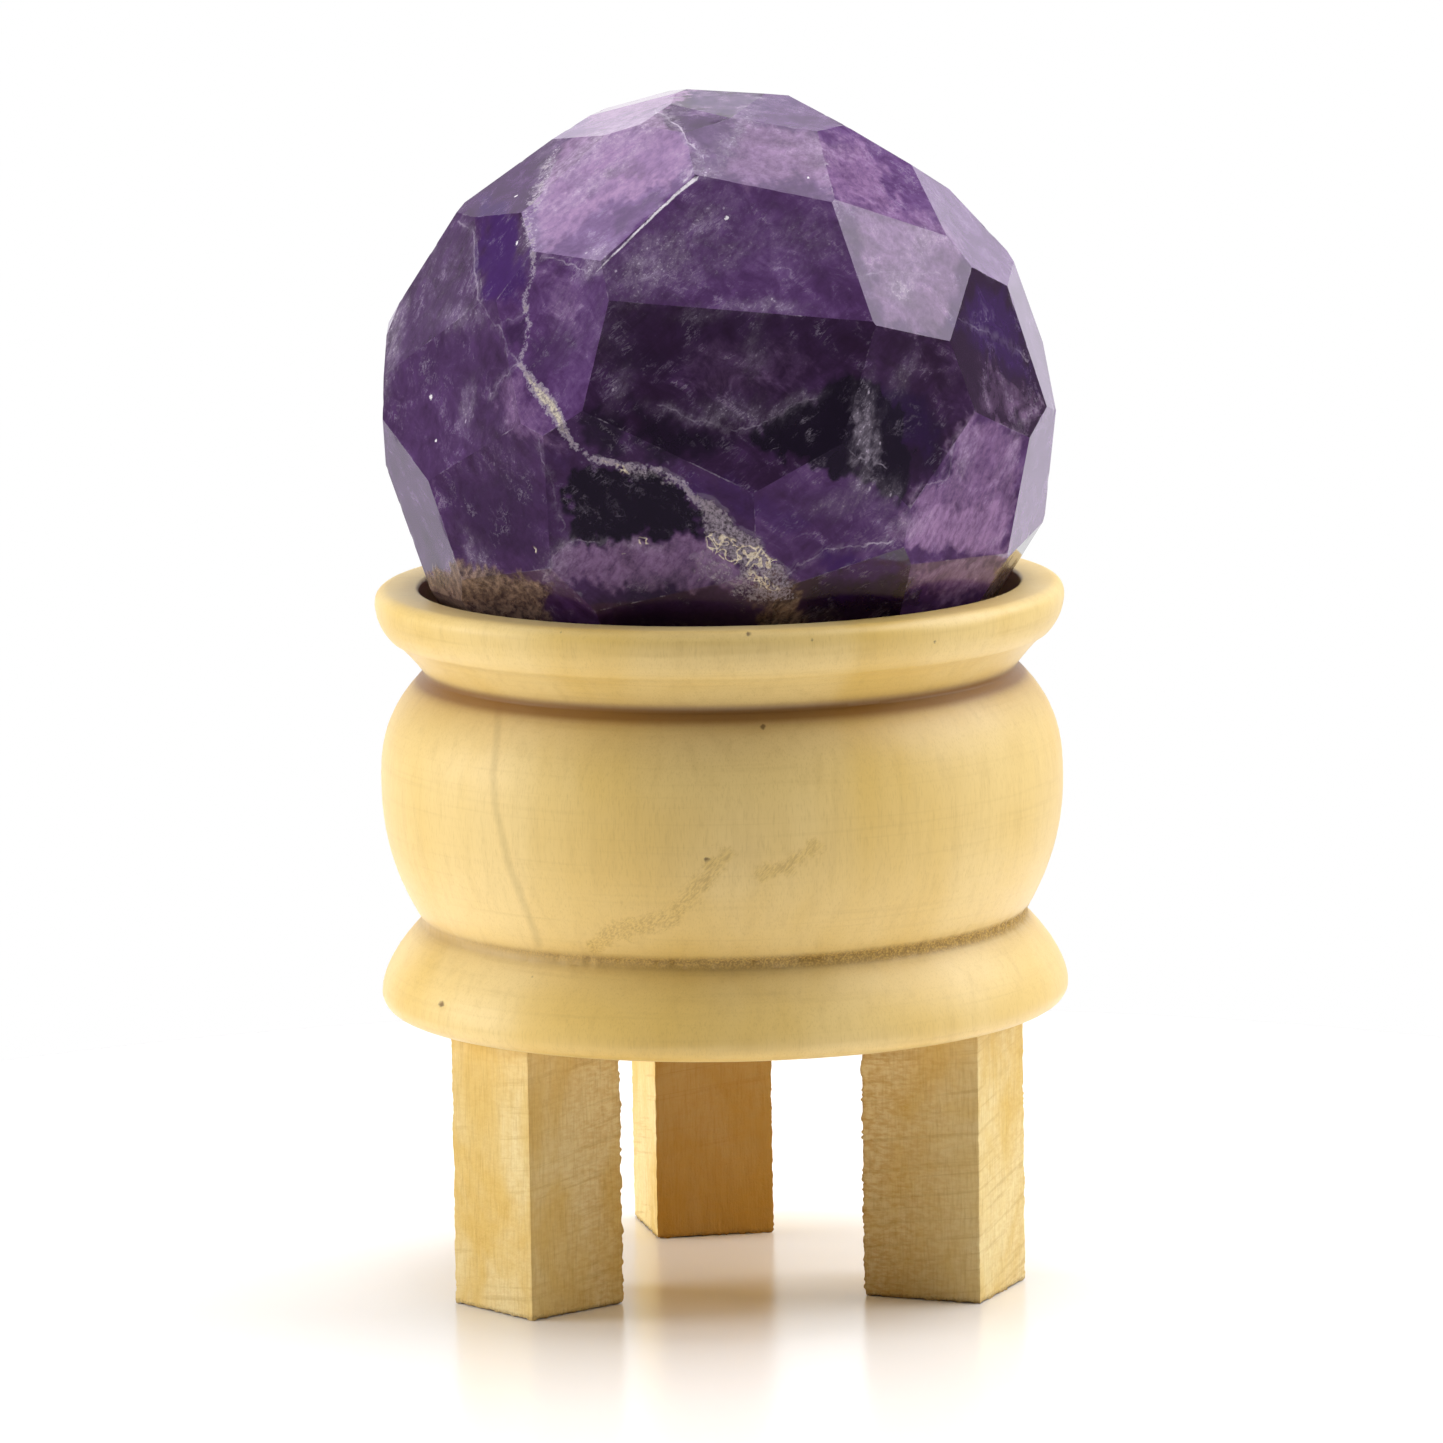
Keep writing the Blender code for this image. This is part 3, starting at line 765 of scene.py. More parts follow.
def amethyst_material(settings):
    """Massive amethyst quartz, ground and polished by hand.

    Quartz bends light by 1.54 and takes a glassy polish, so flats turned from the eye mirror the room.
    Inside, clear violet looks nearly black, and healed cracks and milky quartz look lilac to white.
    """
    material, tree, shader, place, marks = start_material("polished_amethyst", (*CALM, "tone", "edge"))
    node = partial(add_node, tree)
    shift = node(("ShaderNodeAttribute", {"attribute_name": "shift"}, (), "Vector"))
    deep = node(MOVED, place, shift)
    inner = add_patterns(tree, deep, DEEP_PATTERNS)
    near = add_patterns(tree, place, NEAR_PATTERNS)
    wander = node(ADD, inner["veils"], -0.5)
    jitter = node(ADD, near["fine"], -0.5)

    # The body, from clear and dark to hazy
    # The flats' tones carry painted light and shade as well as the inside's own tone
    light = node(TIMES_ADD, marks["tone"], 0.62, node(TIMES, inner["clouds"], 0.36))
    light = node(TIMES_ADD, wander, 0.62, light)
    light = node(TIMES_ADD, node(ADD, inner["wisps"], -0.5), 0.30, light)
    body = node(BLEND, node(EASE, light, 0.16, 0.74), settings.deep_violet, settings.violet)
    hazy = node(TIMES, node(EASE, light, 0.50, 0.98), node(EASE, near["streaks"], 0.3, 0.7, 0.55, 1.0))
    body = node(BLEND, hazy, body, settings.lilac)
    blue = node(EASE, node(TIMES_ADD, wander, 0.7, marks["violet"]), 0.2, 0.9, 0.0, 0.85)
    body = node(BLEND, blue, body, settings.blue_violet)
    pink = node(EASE, node(TIMES_ADD, wander, 1.0, marks["lilac"]), 0.15, 1.0, 0.0, 0.95)
    pink = node(TIMES, pink, node(EASE, near["streaks"], 0.3, 0.65, 0.35, 1.0))
    body = node(BLEND, pink, body, settings.pink)
    ink = node(TIMES_ADD, wander, 0.8, marks["ink"])
    ink = node(EASE, node(TIMES_ADD, jitter, 0.2, ink), 0.15, 0.85, 0.0, 0.94)
    body = node(BLEND, ink, body, settings.ink)

    # Milky wisps, frosted veils and flecks
    threads = node(UNSIGNED, node(ADD, inner["wisps"], -0.5))
    threads = node(TIMES, node(EASE, threads, 0.035, 0.0), node(EASE, inner["veils"], 0.50, 0.72, 0.0, 0.34))
    body = node(BLEND, threads, body, settings.frost)
    flakes = node(TIMES, node(EASE, near["fine"], 0.54, 0.68), node(EASE, near["streaks"], 0.42, 0.6))
    milk = node(ADD, node(EASE, near["streaks"], 0.35, 0.8, 0.10, 0.6), flakes)
    milk = node(SMALLER, node(TIMES, marks["frost"], milk), 0.85)
    body = node(BLEND, milk, body, settings.frost)
    slanted = node(TURNED, place, (0.0, 0.35, 0.0), (0.7, 0.7, 1.5))
    flecks = node(CELLS, slanted, 0.9)
    chosen = node(EASE, flecks.node.outputs["Color"], 0.62, 0.72)
    flecks = node(TIMES, node(EASE, node(TIMES_ADD, jitter, 0.25, flecks), 0.17, 0.09), chosen)
    flecks = node(TIMES, flecks, node(EASE, node(ADD, marks["frost"], inner["veils"]), 0.50, 0.90, 0.0, 0.6))
    body = node(BLEND, flecks, body, settings.frost)
    dust = node(TIMES, node(EASE, near["grit"], 0.70, 0.78), node(EASE, inner["veils"], 0.5, 0.75, 0.0, 0.35))
    body = node(BLEND, dust, body, settings.frost)

    # Brown near the rim: iron stains, and painted reflection of the wooden stand
    rust = node(EASE, node(TIMES_ADD, wander, 1.0, marks["rust"]), 0.2, 1.1, 0.0, 0.85)
    stain_and_reflection = node(BLEND, node(EASE, near["streaks"], 0.35, 0.7), STAIN_AND_REFLECTION_DARK, STAIN_AND_REFLECTION_PALE)
    body = node(BLEND, rust, body, stain_and_reflection)

    # Healed cracks: a thin pale line, with a haze that hangs beside it
    gap = node(UNSIGNED, marks["crack"])
    line = node(EASE, node(TIMES_ADD, jitter, 0.35, gap), 0.14, 0.0)
    line = node(TIMES, line, node(EASE, inner["veils"], 0.36, 0.62, 0.05, 0.75))
    haze = node(TIMES, node(EASE, gap, 0.8, 0.0, 0.0, 0.35), node(EASE, near["streaks"], 0.4, 0.7))
    body = node(BLEND, node(TIMES, node(LARGER, line, haze), marks["beside"]), body, settings.frost)

    # The vein: a cream line in a grey-lilac border, which opens into gravel with coarse cream crystals
    breaks = node(TIMES_ADD, node(ADD, near["lumps"], -0.5), 1.5, node(TIMES, jitter, 1.5))
    seed = node(TIMES_ADD, node(TIMES, breaks, 1.6), node(EASE, marks["vein"], 0.0, 0.35), marks["vein"])
    body = node(BLEND, node(EASE, seed, 0.16, 0.66, 0.0, 0.5), body, settings.frost)
    cream = node(EASE, seed, 0.55, 0.80)
    pure = node(BLEND, node(EASE, marks["vein"], 0.75, 1.0), settings.gravel, settings.cream)
    sand = node(BLEND, node(EASE, near["fine"], 0.35, 0.62), SAND_SHADE, pure)
    body = node(BLEND, cream, body, sand)
    gravel = node(EASE, node(TIMES_ADD, breaks, 0.7, marks["gravel"]), 0.30, 0.75)
    pebble = node(BLEND, node(EASE, near["fine"], 0.34, 0.62), PEBBLE_SHADE, settings.gravel)
    body = node(BLEND, node(TIMES, gravel, 0.9), body, pebble)
    curls = node(EASE, node(UNSIGNED, node(ADD, near["curls"], -0.5)), 0.070, 0.035)
    grown = node(TIMES, curls, node(EASE, marks["crystal"], 0.15, 0.7))
    gem = node(BLEND, node(EASE, near["fine"], 0.3, 0.6), CRYSTAL_SHADE, settings.crystal)
    body = node(BLEND, grown, body, gem)

    # Worn edges, the splintered edge and single specks
    rim = node(EASE, node(TIMES_ADD, jitter, 0.4, marks["edge"]), 0.10, 0.0)
    rim = node(TIMES, rim, node(EASE, near["patches"], 0.52, 0.72, 0.0, 0.35))
    body = node(BLEND, rim, body, settings.frost)
    splinter = node(TIMES_ADD, marks["chip"], -1.0, node(UNSIGNED, marks["splinter"]))
    splinter = node(EASE, node(TIMES_ADD, jitter, 0.22, splinter), 0.06, -0.06)
    splinter = node(TIMES, splinter, node(EASE, marks["chip"], 0.02, 0.08))
    white = node(TIMES, splinter, node(EASE, near["streaks"], 0.36, 0.52, 0.25, 1.0))
    body = node(BLEND, white, body, SPLINTER_WHITE)
    dots = 0.0
    for x, y, size in SPECKS:
        away = node(APART, place, [value / MM for value in ball_place(x, y)])
        away = node(TIMES_ADD, jitter, 0.8, away)
        dots = node(ADD, node(EASE, away, size / PX_PER_MM, 0.5 * size / PX_PER_MM), dots)
    body = node(BLEND, node(SMALLER, dots, 0.9), body, SPECK_WHITE)
    tree.links.new(body, shader.inputs["Base Color"])

    stony = node(LARGER, node(LARGER, cream, gravel), grown)
    rough = node(LARGER, node(TIMES, stony, 0.5), node(TIMES, rust, 0.35))
    rough = node(LARGER, rough, node(EASE, inner["veils"], 0.3, 0.8, 0.06, 0.13))
    tree.links.new(node(LARGER, rough, node(TIMES, splinter, 0.5)), shader.inputs["Roughness"])
    shader.inputs["IOR"].default_value = settings.ior
    shader.inputs["Specular IOR Level"].default_value = settings.sheen_level
    pits = node(TIMES_ADD, node(LARGER, stony, rust), near["fine"], node(TIMES, grown, near["lumps"]))
    tree.links.new(node(BUMP, pits, 0.5, 0.15 * MM), shader.inputs["Normal"])
    return material


# The stand

# Marks on the wood: the dark growth streak, the slanting flaw and the pin-holes, in pixels
DARK_STREAK = (
    (499, 700), (497, 740), (493, 775), (496, 810), (502, 836), (509, 866), (520, 893), (530, 920),
    (539, 944),
)
FLAW = ((597, 946), (612, 932), (640, 926), (675, 916), (690, 896), (712, 870), (724, 856))
SECOND_FLAW = ((762, 872), (785, 868), (800, 857), (815, 848))
PIN_HOLES = (
    (707, 860, 3.2), (763, 727, 3.0), (736, 787, 1.8), (749, 634, 2.6), (441, 1004, 3.0), (532, 976, 1.6),
    (700, 905, 1.5), (812, 640, 1.5), (935, 642, 1.6), (830, 765, 1.4), (560, 632, 1.2),
)
# Half the width of the two flaws, and a distance at which no mark shows, in pixels
FLAW_HALF = 9
SECOND_FLAW_HALF = 7
UNSEEN_PX = 60.0
# The side on which the fibres of the lower groove are torn most
TORN_BEARING = math.radians(-40)
# Depths of the sanded flaws, the pin-holes and the lines that the turning tool left
FLAW_DEPTH = 0.05 * MM
HOLE_DEPTH = 0.12 * MM
TURNING_DEPTH = 0.015 * MM
# Shares of the stand's radius outside which the brown and torn side lies, and the lines of the tool
SIDE_SHARE = 0.8
LINED_SHARE = 0.85
# Edges sharper than this many degrees stay crisp on the stand and on the legs
STAND_CRISP = 50
LEG_CRISP = 40
# Rounds of the turned outline: first and last angle in degrees, and steps
RIM_ARC = (165, 90, 4)
LIP_TOP_ARC = (90, 0, 10)
LIP_SIDE_ARC = (-3, -45, 16)
FOOT_ARC = (-9, -90, 9)
# Steps along its other parts
BOWL_STEPS = 16
EASE_STEPS = 8
BELLY_STEPS = 30
FOOT_STEPS = 20
# Colours of the wood's small marks
TORN_DARK, TORN_PALE = linear("#ae832f"), linear("#e4c36c")
FUR_DARK, FUR_PALE = linear("#86611d"), linear("#d0a94c")
STREAK_BROWN = linear("#8f6f38")
# Brown of the grooves: burnish, with painted shade under the lip
BURNISH_AND_SHADE_BROWN = linear("#7a4703")
HOLE_BROWN = linear("#5d3d14")


def swell(widest, drop, height, reach, power, shares):
    """Part of a swelling side: it falls back from its widest place by a power of the way from it."""
    return [(widest - drop * abs(share) ** power, height + reach * share) for share in shares]


def arc(radius_at, height_at, radius, start, end, steps):
    """Points on a round of the outline, from one angle in degrees to another."""
    turns = [math.radians(start + (end - start) * index / steps) for index in range(steps + 1)]
    return [(radius_at + radius * math.cos(turn), height_at + radius * math.sin(turn)) for turn in turns]


def stand_profile(size):
    """The turned outline, from the middle of the recess floor, over the rim and down to the underside."""
    rim, underside = STAND_HIGH.z, STAND_LOW.z
    groove_low = underside + size.foot_height
    belly_low = groove_low + size.lower_groove
    belly_high = belly_low + size.belly_height
    lip_low = belly_high + size.upper_groove
    floor = rim - size.recess_depth
    opening = STAND_RADIUS - size.lip_width
    wall_top = rim - size.rim_round
    sweep = (wall_top - floor) / math.sqrt(1 - (size.floor_radius / opening) ** 2)
    points = [(0.0, floor), (size.floor_radius * 0.5, floor), (size.floor_radius, floor)]
    for index in range(1, BOWL_STEPS + 1):
        fall = (wall_top - floor) * (1 - index / BOWL_STEPS)
        points.append((opening * math.sqrt(1 - (fall / sweep) ** 2), wall_top - fall))
    points += arc(opening + size.rim_round, wall_top, size.rim_round, *RIM_ARC)
    height = rim - size.lip_top_round
    points += arc(STAND_RADIUS - size.lip_top_round, height, size.lip_top_round, *LIP_TOP_ARC)
    points += arc(STAND_RADIUS - size.lip_side_round, height, size.lip_side_round, *LIP_SIDE_ARC)
    groove = STAND_RADIUS - size.upper_groove_depth
    end = points[-1]
    for share in (index / EASE_STEPS for index in range(1, EASE_STEPS)):
        points.append((end[0] + (groove - end[0]) * share, end[1] + (lip_low - end[1]) * share ** 1.3))
    points += [(groove, lip_low), (groove, belly_high)]
    widest = STAND_RADIUS - size.belly_setback
    height = belly_low + size.belly_widest
    shares = [1 - (index / BELLY_STEPS) ** 1.5 for index in range(1, BELLY_STEPS + 1)]
    points += swell(widest, widest - groove, height, belly_high - height, size.belly_power_above, shares)
    shares = [-((index / BELLY_STEPS) ** 0.8) for index in range(1, BELLY_STEPS + 1)]
    points += swell(widest, widest - STAND_RADIUS + size.lower_groove_depth, height, size.belly_widest,
                    size.belly_power_below, shares)
    groove = STAND_RADIUS - size.lower_groove_depth
    points.append((groove, groove_low))
    height = underside + size.foot_round
    rise = size.foot_height - size.foot_round
    shares = [1 - index / FOOT_STEPS for index in range(1, FOOT_STEPS + 1)]
    points += swell(STAND_RADIUS, size.lower_groove_depth, height, rise, size.foot_power, shares)
    points += arc(STAND_RADIUS - size.foot_round, height, size.foot_round, *FOOT_ARC)
    points += [(STAND_RADIUS * share, underside) for share in (0.8, 0.6, 0.3, 0.0)]
    return points


def make_stand(settings):
    """The stand: its outline spun round the upright axis, then worked over by hand."""
    mesh = bpy.data.meshes.new("turned_stand_fine")
    profile = stand_profile(settings)
    mesh.from_pydata([(radius, 0.0, height) for radius, height in profile],
                     [(index, index + 1) for index in range(len(profile) - 1)], [])
    stand = new_piece("turned_stand_fine", mesh)
    edit_all(stand)
    bpy.ops.mesh.spin(steps=settings.turning_steps, angle=math.tau, center=(0, 0, 0), axis=(0, 0, 1))
    bpy.ops.mesh.select_all(action="SELECT")
    close_shell(0.003 * MM)
    points = mesh_points(mesh)
    radius = np.maximum(np.hypot(points[:, 0], points[:, 1]), 1e-9)
    outward = np.stack((points[:, 0] / radius, points[:, 1] / radius, np.zeros(len(points))), axis=1)
    groove = STAND_LOW.z + settings.foot_height
    height = points[:, 2]
    turned_side = radius > SIDE_SHARE * STAND_RADIUS
    torn = np.exp(-((height - groove - 0.6 * MM) / (0.8 * MM)) ** 2) * turned_side
    torn *= 0.6 + 0.4 * np.cos(np.arctan2(points[:, 1], points[:, 0]) - TORN_BEARING)
    fibre = 0.6 * ripple(points * (1, 1, 0.35), 0.35 * MM, 21) + 0.6 * ripple(points, 0.8 * MM, 22)
    spots = photo_pixels(points)
    marks = {
        "flaw": np.minimum(line_distance(spots, FLAW)[0] - FLAW_HALF,
                           line_distance(spots, SECOND_FLAW)[0] - SECOND_FLAW_HALF),
        "hole": np.min([np.linalg.norm(spots - (x, y), axis=1) - size for x, y, size in PIN_HOLES], axis=0),
        "streak": line_distance(spots, DARK_STREAK)[0],
    }
    for values in marks.values():
        values[points[:, 1] >= 0] = UNSEEN_PX
    dent = settings.torn_depth * torn * np.clip(0.55 + fibre, 0, 1.4)
    dent += FLAW_DEPTH * (1 - smooth_step(-4, 3, marks["flaw"])) * np.clip(0.5 + fibre, 0, 1)
    dent += HOLE_DEPTH * (1 - smooth_step(-2, 2, marks["hole"]))
    turning = 1 + ripple(points * (0.05, 0.05, 1.0), 0.4 * MM, 23)
    dent += TURNING_DEPTH * turning * (radius > LINED_SHARE * STAND_RADIUS)
    set_mesh_points(mesh, points - outward * np.clip(dent, 0, None)[:, None])
    for name, values in marks.items():
        put_attribute(mesh, name, values / PX_PER_MM)
    put_attribute(mesh, "torn", torn)

    # Brown in the upper groove, partly burnish and partly painted shade under the lip; the shade fades down
    # the belly, and less of the brown lies in the lower groove
    upper = groove + settings.lower_groove + settings.belly_height
    below = np.clip(upper - height, 0, None)
    rubbed = np.exp(-(np.abs(height - upper) / (0.75 * MM)) ** 1.5)
    rubbed += 0.42 * np.exp(-below / (4.5 * MM)) * (below > 0)
    rubbed = np.maximum(rubbed, 0.7 * np.exp(-np.abs(height - groove - 0.4 * MM) / (0.8 * MM)))
    put_attribute(mesh, "rubbed", rubbed * turned_side)
    only(stand)
    bpy.ops.object.shade_smooth_by_angle(angle=math.radians(STAND_CRISP))
    hand_over(stand, "turned_stand", turned_wood_material(settings))


# Noise patterns of the turned wood, given as the stone's are: the pores run upwards and the rings round
TURNED_PATTERNS = {
    "patches": (16.0, 3, 0.5, 0.4, LEVEL, (1.0, 1.0, 2.5)),
    "pores": (0.13, 3, 0.6, 0.0, LEVEL, (1.0, 1.0, 11.0)),
    "bands": (1.1, 3, 0.5, 0.2, LEVEL, (1.0, 1.0, 9.0)),
    "rings": (0.5, 3, 0.55, 0.0, LEVEL, (40.0, 40.0, 1.0)),
    "speckle": (0.2, 3, 0.6, 0.0, LEVEL, EVEN),
    "strokes": (0.22, 4, 0.65, 0.4, (0.0, 0.75, 0.0), (0.8, 0.8, 3.5)),
    "wobble": (1.0, 5, 0.7, 0.3, LEVEL, EVEN),
}


def turned_wood_material(settings):
    """Pale close-grained hardwood, turned, sanded and waxed.

    The wax fills the pores, so the surface is satin, with a soft sheen over fine upright pore lines.
    """
    material, tree, shader, place, marks = start_material(
        "waxed_pale_wood", ("flaw", "streak", "rubbed", "torn", "hole"))
    node = partial(add_node, tree)
    grain = add_patterns(tree, place, TURNED_PATTERNS)
    shade = settings.wood_shade
    wood = node(BLEND, node(EASE, grain["patches"], 0.3, 0.7), settings.wood_warm, settings.wood_pale)
    for name, low, high, most in (
            ("bands", 0.45, 0.8, 0.12), ("pores", 0.48, 0.72, 0.17), ("rings", 0.5, 0.8, 0.12)):
        wood = node(BLEND, node(EASE, grain[name], low, high, 0.0, most), wood, shade)
    wobble = node(TIMES, node(ADD, grain["wobble"], -0.5), 1.2)
    flaw = node(EASE, node(TIMES_ADD, wobble, 3.0, marks["flaw"]), 0.40, -0.50, 0.0, 0.5)
    torn_up = node(BLEND, node(EASE, grain["strokes"], 0.36, 0.62), TORN_DARK, TORN_PALE)
    wood = node(BLEND, flaw, wood, torn_up)
    streak = node(EASE, node(TIMES_ADD, wobble, 0.3, marks["streak"]), 0.60, 0.05, 0.0, 0.22)
    wood = node(BLEND, streak, wood, STREAK_BROWN)
    # Burnish in the grooves, and painted shade under the lip that fades down the belly
    rubbed = node(EASE, node(TIMES_ADD, wobble, 0.06, marks["rubbed"]), 0.03, 0.9, 0.0, 0.88)
    wood = node(BLEND, rubbed, wood, BURNISH_AND_SHADE_BROWN)
    fur = node(BLEND, node(EASE, grain["speckle"], 0.38, 0.66), FUR_DARK, FUR_PALE)
    wood = node(BLEND, node(EASE, marks["torn"], 0.25, 0.85, 0.0, 0.75), wood, fur)
    hole = node(EASE, marks["hole"], 0.10, -0.10, 0.0, 0.8)
    wood = node(BLEND, hole, wood, HOLE_BROWN)
    tree.links.new(wood, shader.inputs["Base Color"])
    rough = node(EASE, grain["pores"], 0.4, 0.8, 0.42, 0.54)
    rough = node(ADD, rough, node(EASE, marks["torn"], 0.2, 0.9, 0.0, 0.35))
    tree.links.new(rough, shader.inputs["Roughness"])
    height = node(TIMES_ADD, grain["pores"], -0.6, node(TIMES, grain["rings"], 0.5))
    height = node(TIMES_ADD, node(TIMES, marks["torn"], grain["speckle"]), 3.0, height)
    tree.links.new(node(BUMP, height, 0.25, 0.06 * MM), shader.inputs["Normal"])
    # The wax is the coat, and the sheen is the pale limb of wood that was sanded fine
    for socket, value in (("IOR", 1.5), ("Coat Weight", settings.wax), ("Coat Roughness", 0.42),
                          ("Sheen Weight", 0.10), ("Sheen Roughness", 0.3)):
        shader.inputs[socket].default_value = value
    return material


# The legs

# Piece, node, turn in degrees, seed of its marks, how much painted shade darkens its sides that face the
# front, and how ragged its upright edges are, going round from the one at -x and -y before the leg is turned
LEGS = (
    ("sawn_leg_front_left", "leg_front_left", -49.5, 31, 0.16, (0.15, 0.25, 0.7, 0.5)),
    ("sawn_leg_front_right", "leg_front_right", -23.0, 32, 0.20, (1.0, 0.2, 0.35, 0.6)),
    ("sawn_leg_back", "leg_back", -78.3, 33, 0.85, (0.15, 0.15, 0.2, 0.5)),
)
# How far from the middle of the unit cube a point on its side lies
ON_SIDE = 0.4999
# How much the saw marks climb across the stock
SAW_SLANT = 0.18
# Depths of the fibres and of the frayed lower end, and how far from an edge it is ragged
FIBRE_DEPTH = 0.03 * MM
FRAYED_DEPTH = 0.16 * MM
EDGE_REACH = 0.30 * MM
# Colours of the sawn wood's marks: the mottled rough sides, and the dirty end that it stands on
MOTTLE_BROWN = linear("#bf8320")
FOOT_BROWN = linear("#5c3a14")


def square_side(node, turn):
    """Side of a square leg, from the width of the box round it and its turn."""
    low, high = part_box(node)
    angle = math.radians(turn)
    return (high.x - low.x) / (abs(math.cos(angle)) + abs(math.sin(angle)))


def make_leg(name, node, turn, seed, brown, ragged_edges, settings):
    """One leg: a length of square stock with its saw marks, ragged edges and torn lower end."""
    low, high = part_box(node)
    side = square_side(node, turn)
    length = high.z - low.z
    middle = (low + high) / 2
    deselect()
    bpy.ops.mesh.primitive_cube_add(size=1.0)
    leg = bpy.context.active_object
    leg.name = name
    leg.data.name = name
    edit_all(leg)
    bpy.ops.mesh.subdivide(number_cuts=settings.leg_cuts)
    bpy.ops.object.mode_set(mode="OBJECT")
    shape = bmesh.new()
    shape.from_mesh(leg.data)
    upright = [line for line in shape.edges
               if abs((line.verts[0].co - line.verts[1].co).normalized().z) > 0.9]
    bmesh.ops.subdivide_edges(shape, edges=upright, cuts=settings.upright_cuts)
    shape.to_mesh(leg.data)
    shape.free()
    points = mesh_points(leg.data)
    spot = points * (side, side, length)
    half = side / 2
    gap_x, gap_y = half - np.abs(spot[:, 0]), half - np.abs(spot[:, 1])
    on_x, on_y = (np.abs(points[:, axis]) > ON_SIDE for axis in (0, 1))
    corner = np.minimum(np.where(on_x, gap_y, 1), np.where(on_y, gap_x, 1))
    height = spot[:, 2] + length / 2
    rise = height - SAW_SLANT * (spot[:, 0] + spot[:, 1])
    saw = ripple(np.stack((spot[:, 0] * 0.15, spot[:, 1] * 0.15, rise), axis=1), 0.7 * MM, seed)
    fibre = ripple(spot * (1, 1, 0.12), 0.45 * MM, seed + 10)
    fuzz = 0.7 * ripple(spot * (1, 1, 1.3), 0.34 * MM, seed + 20) * (1 + ripple(spot, 2.2 * MM, seed + 30))
    fuzz += 0.35 * ripple(spot, 0.9 * MM, seed + 40)
    right = smooth_step(-0.5, 0.5, points[:, 0])
    back = smooth_step(-0.5, 0.5, points[:, 1])
    near_left, near_right, far_right, far_left = ragged_edges
    near = near_left + (near_right - near_left) * right
    far = far_left + (far_right - far_left) * right
    ragged = (1 - back) * near + back * far
    ends = np.minimum(height, length - height)
    pull = FIBRE_DEPTH * (1 + fibre) + settings.saw_depth * np.clip(0.5 + saw, 0, 2)
    torn = ragged * np.exp(-corner / EDGE_REACH) * np.clip(0.7 + fuzz, 0, 2)
    torn += 0.5 * np.exp(-ends / EDGE_REACH) * np.clip(0.8 + fuzz, 0, 2)
    pull += settings.ragged_depth * torn
    for axis, on_side in enumerate((on_x, on_y)):
        spot[:, axis] -= np.sign(spot[:, axis]) * np.where(on_side, pull, 0)
    frayed = np.exp(-np.minimum(gap_x, gap_y) / (0.6 * MM)) * np.clip(0.7 + fuzz, 0, 2)
    spot[:, 2] += np.where(height < 0.05 * MM, FRAYED_DEPTH * frayed, 0)
    sine, cosine = math.sin(math.radians(turn)), math.cos(math.radians(turn))
    towards = np.where(on_x, np.sign(spot[:, 0]) * -sine, np.sign(spot[:, 1]) * -cosine)
    turned = np.stack((spot[:, 0] * cosine - spot[:, 1] * sine,
                       spot[:, 0] * sine + spot[:, 1] * cosine, spot[:, 2]), axis=1)
    set_mesh_points(leg.data, turned + np.array(middle))
    # One mark is painted shade on the sides that face the front, darker lower down
    for mark, values in (
            ("corner", np.minimum(corner, ends) / MM),
            ("height", height / MM),
            ("saw", rise / MM),
            ("ragged", ragged),
            ("brown", brown * smooth_step(0.3, 0.9, towards) * (1.15 - 0.45 * height / length))):
        put_attribute(leg.data, mark, values)
    only(leg)
    bpy.ops.object.shade_smooth_by_angle(angle=math.radians(LEG_CRISP))
    return leg


# Noise patterns of the sawn wood, given as the stone's are
SAWN_PATTERNS = {
    "patches": (9.0, 4, 0.55, 0.6, LEVEL, (1.0, 1.0, 1.6)),
    "fibres": (0.22, 4, 0.65, 0.0, LEVEL, (1.0, 1.0, 12.0)),
    "mottle": (0.42, 4, 0.62, 0.2, LEVEL, (2.4, 2.4, 0.9)),
    "fuzz": (0.25, 3, 0.6, 0.0, LEVEL, EVEN),
}


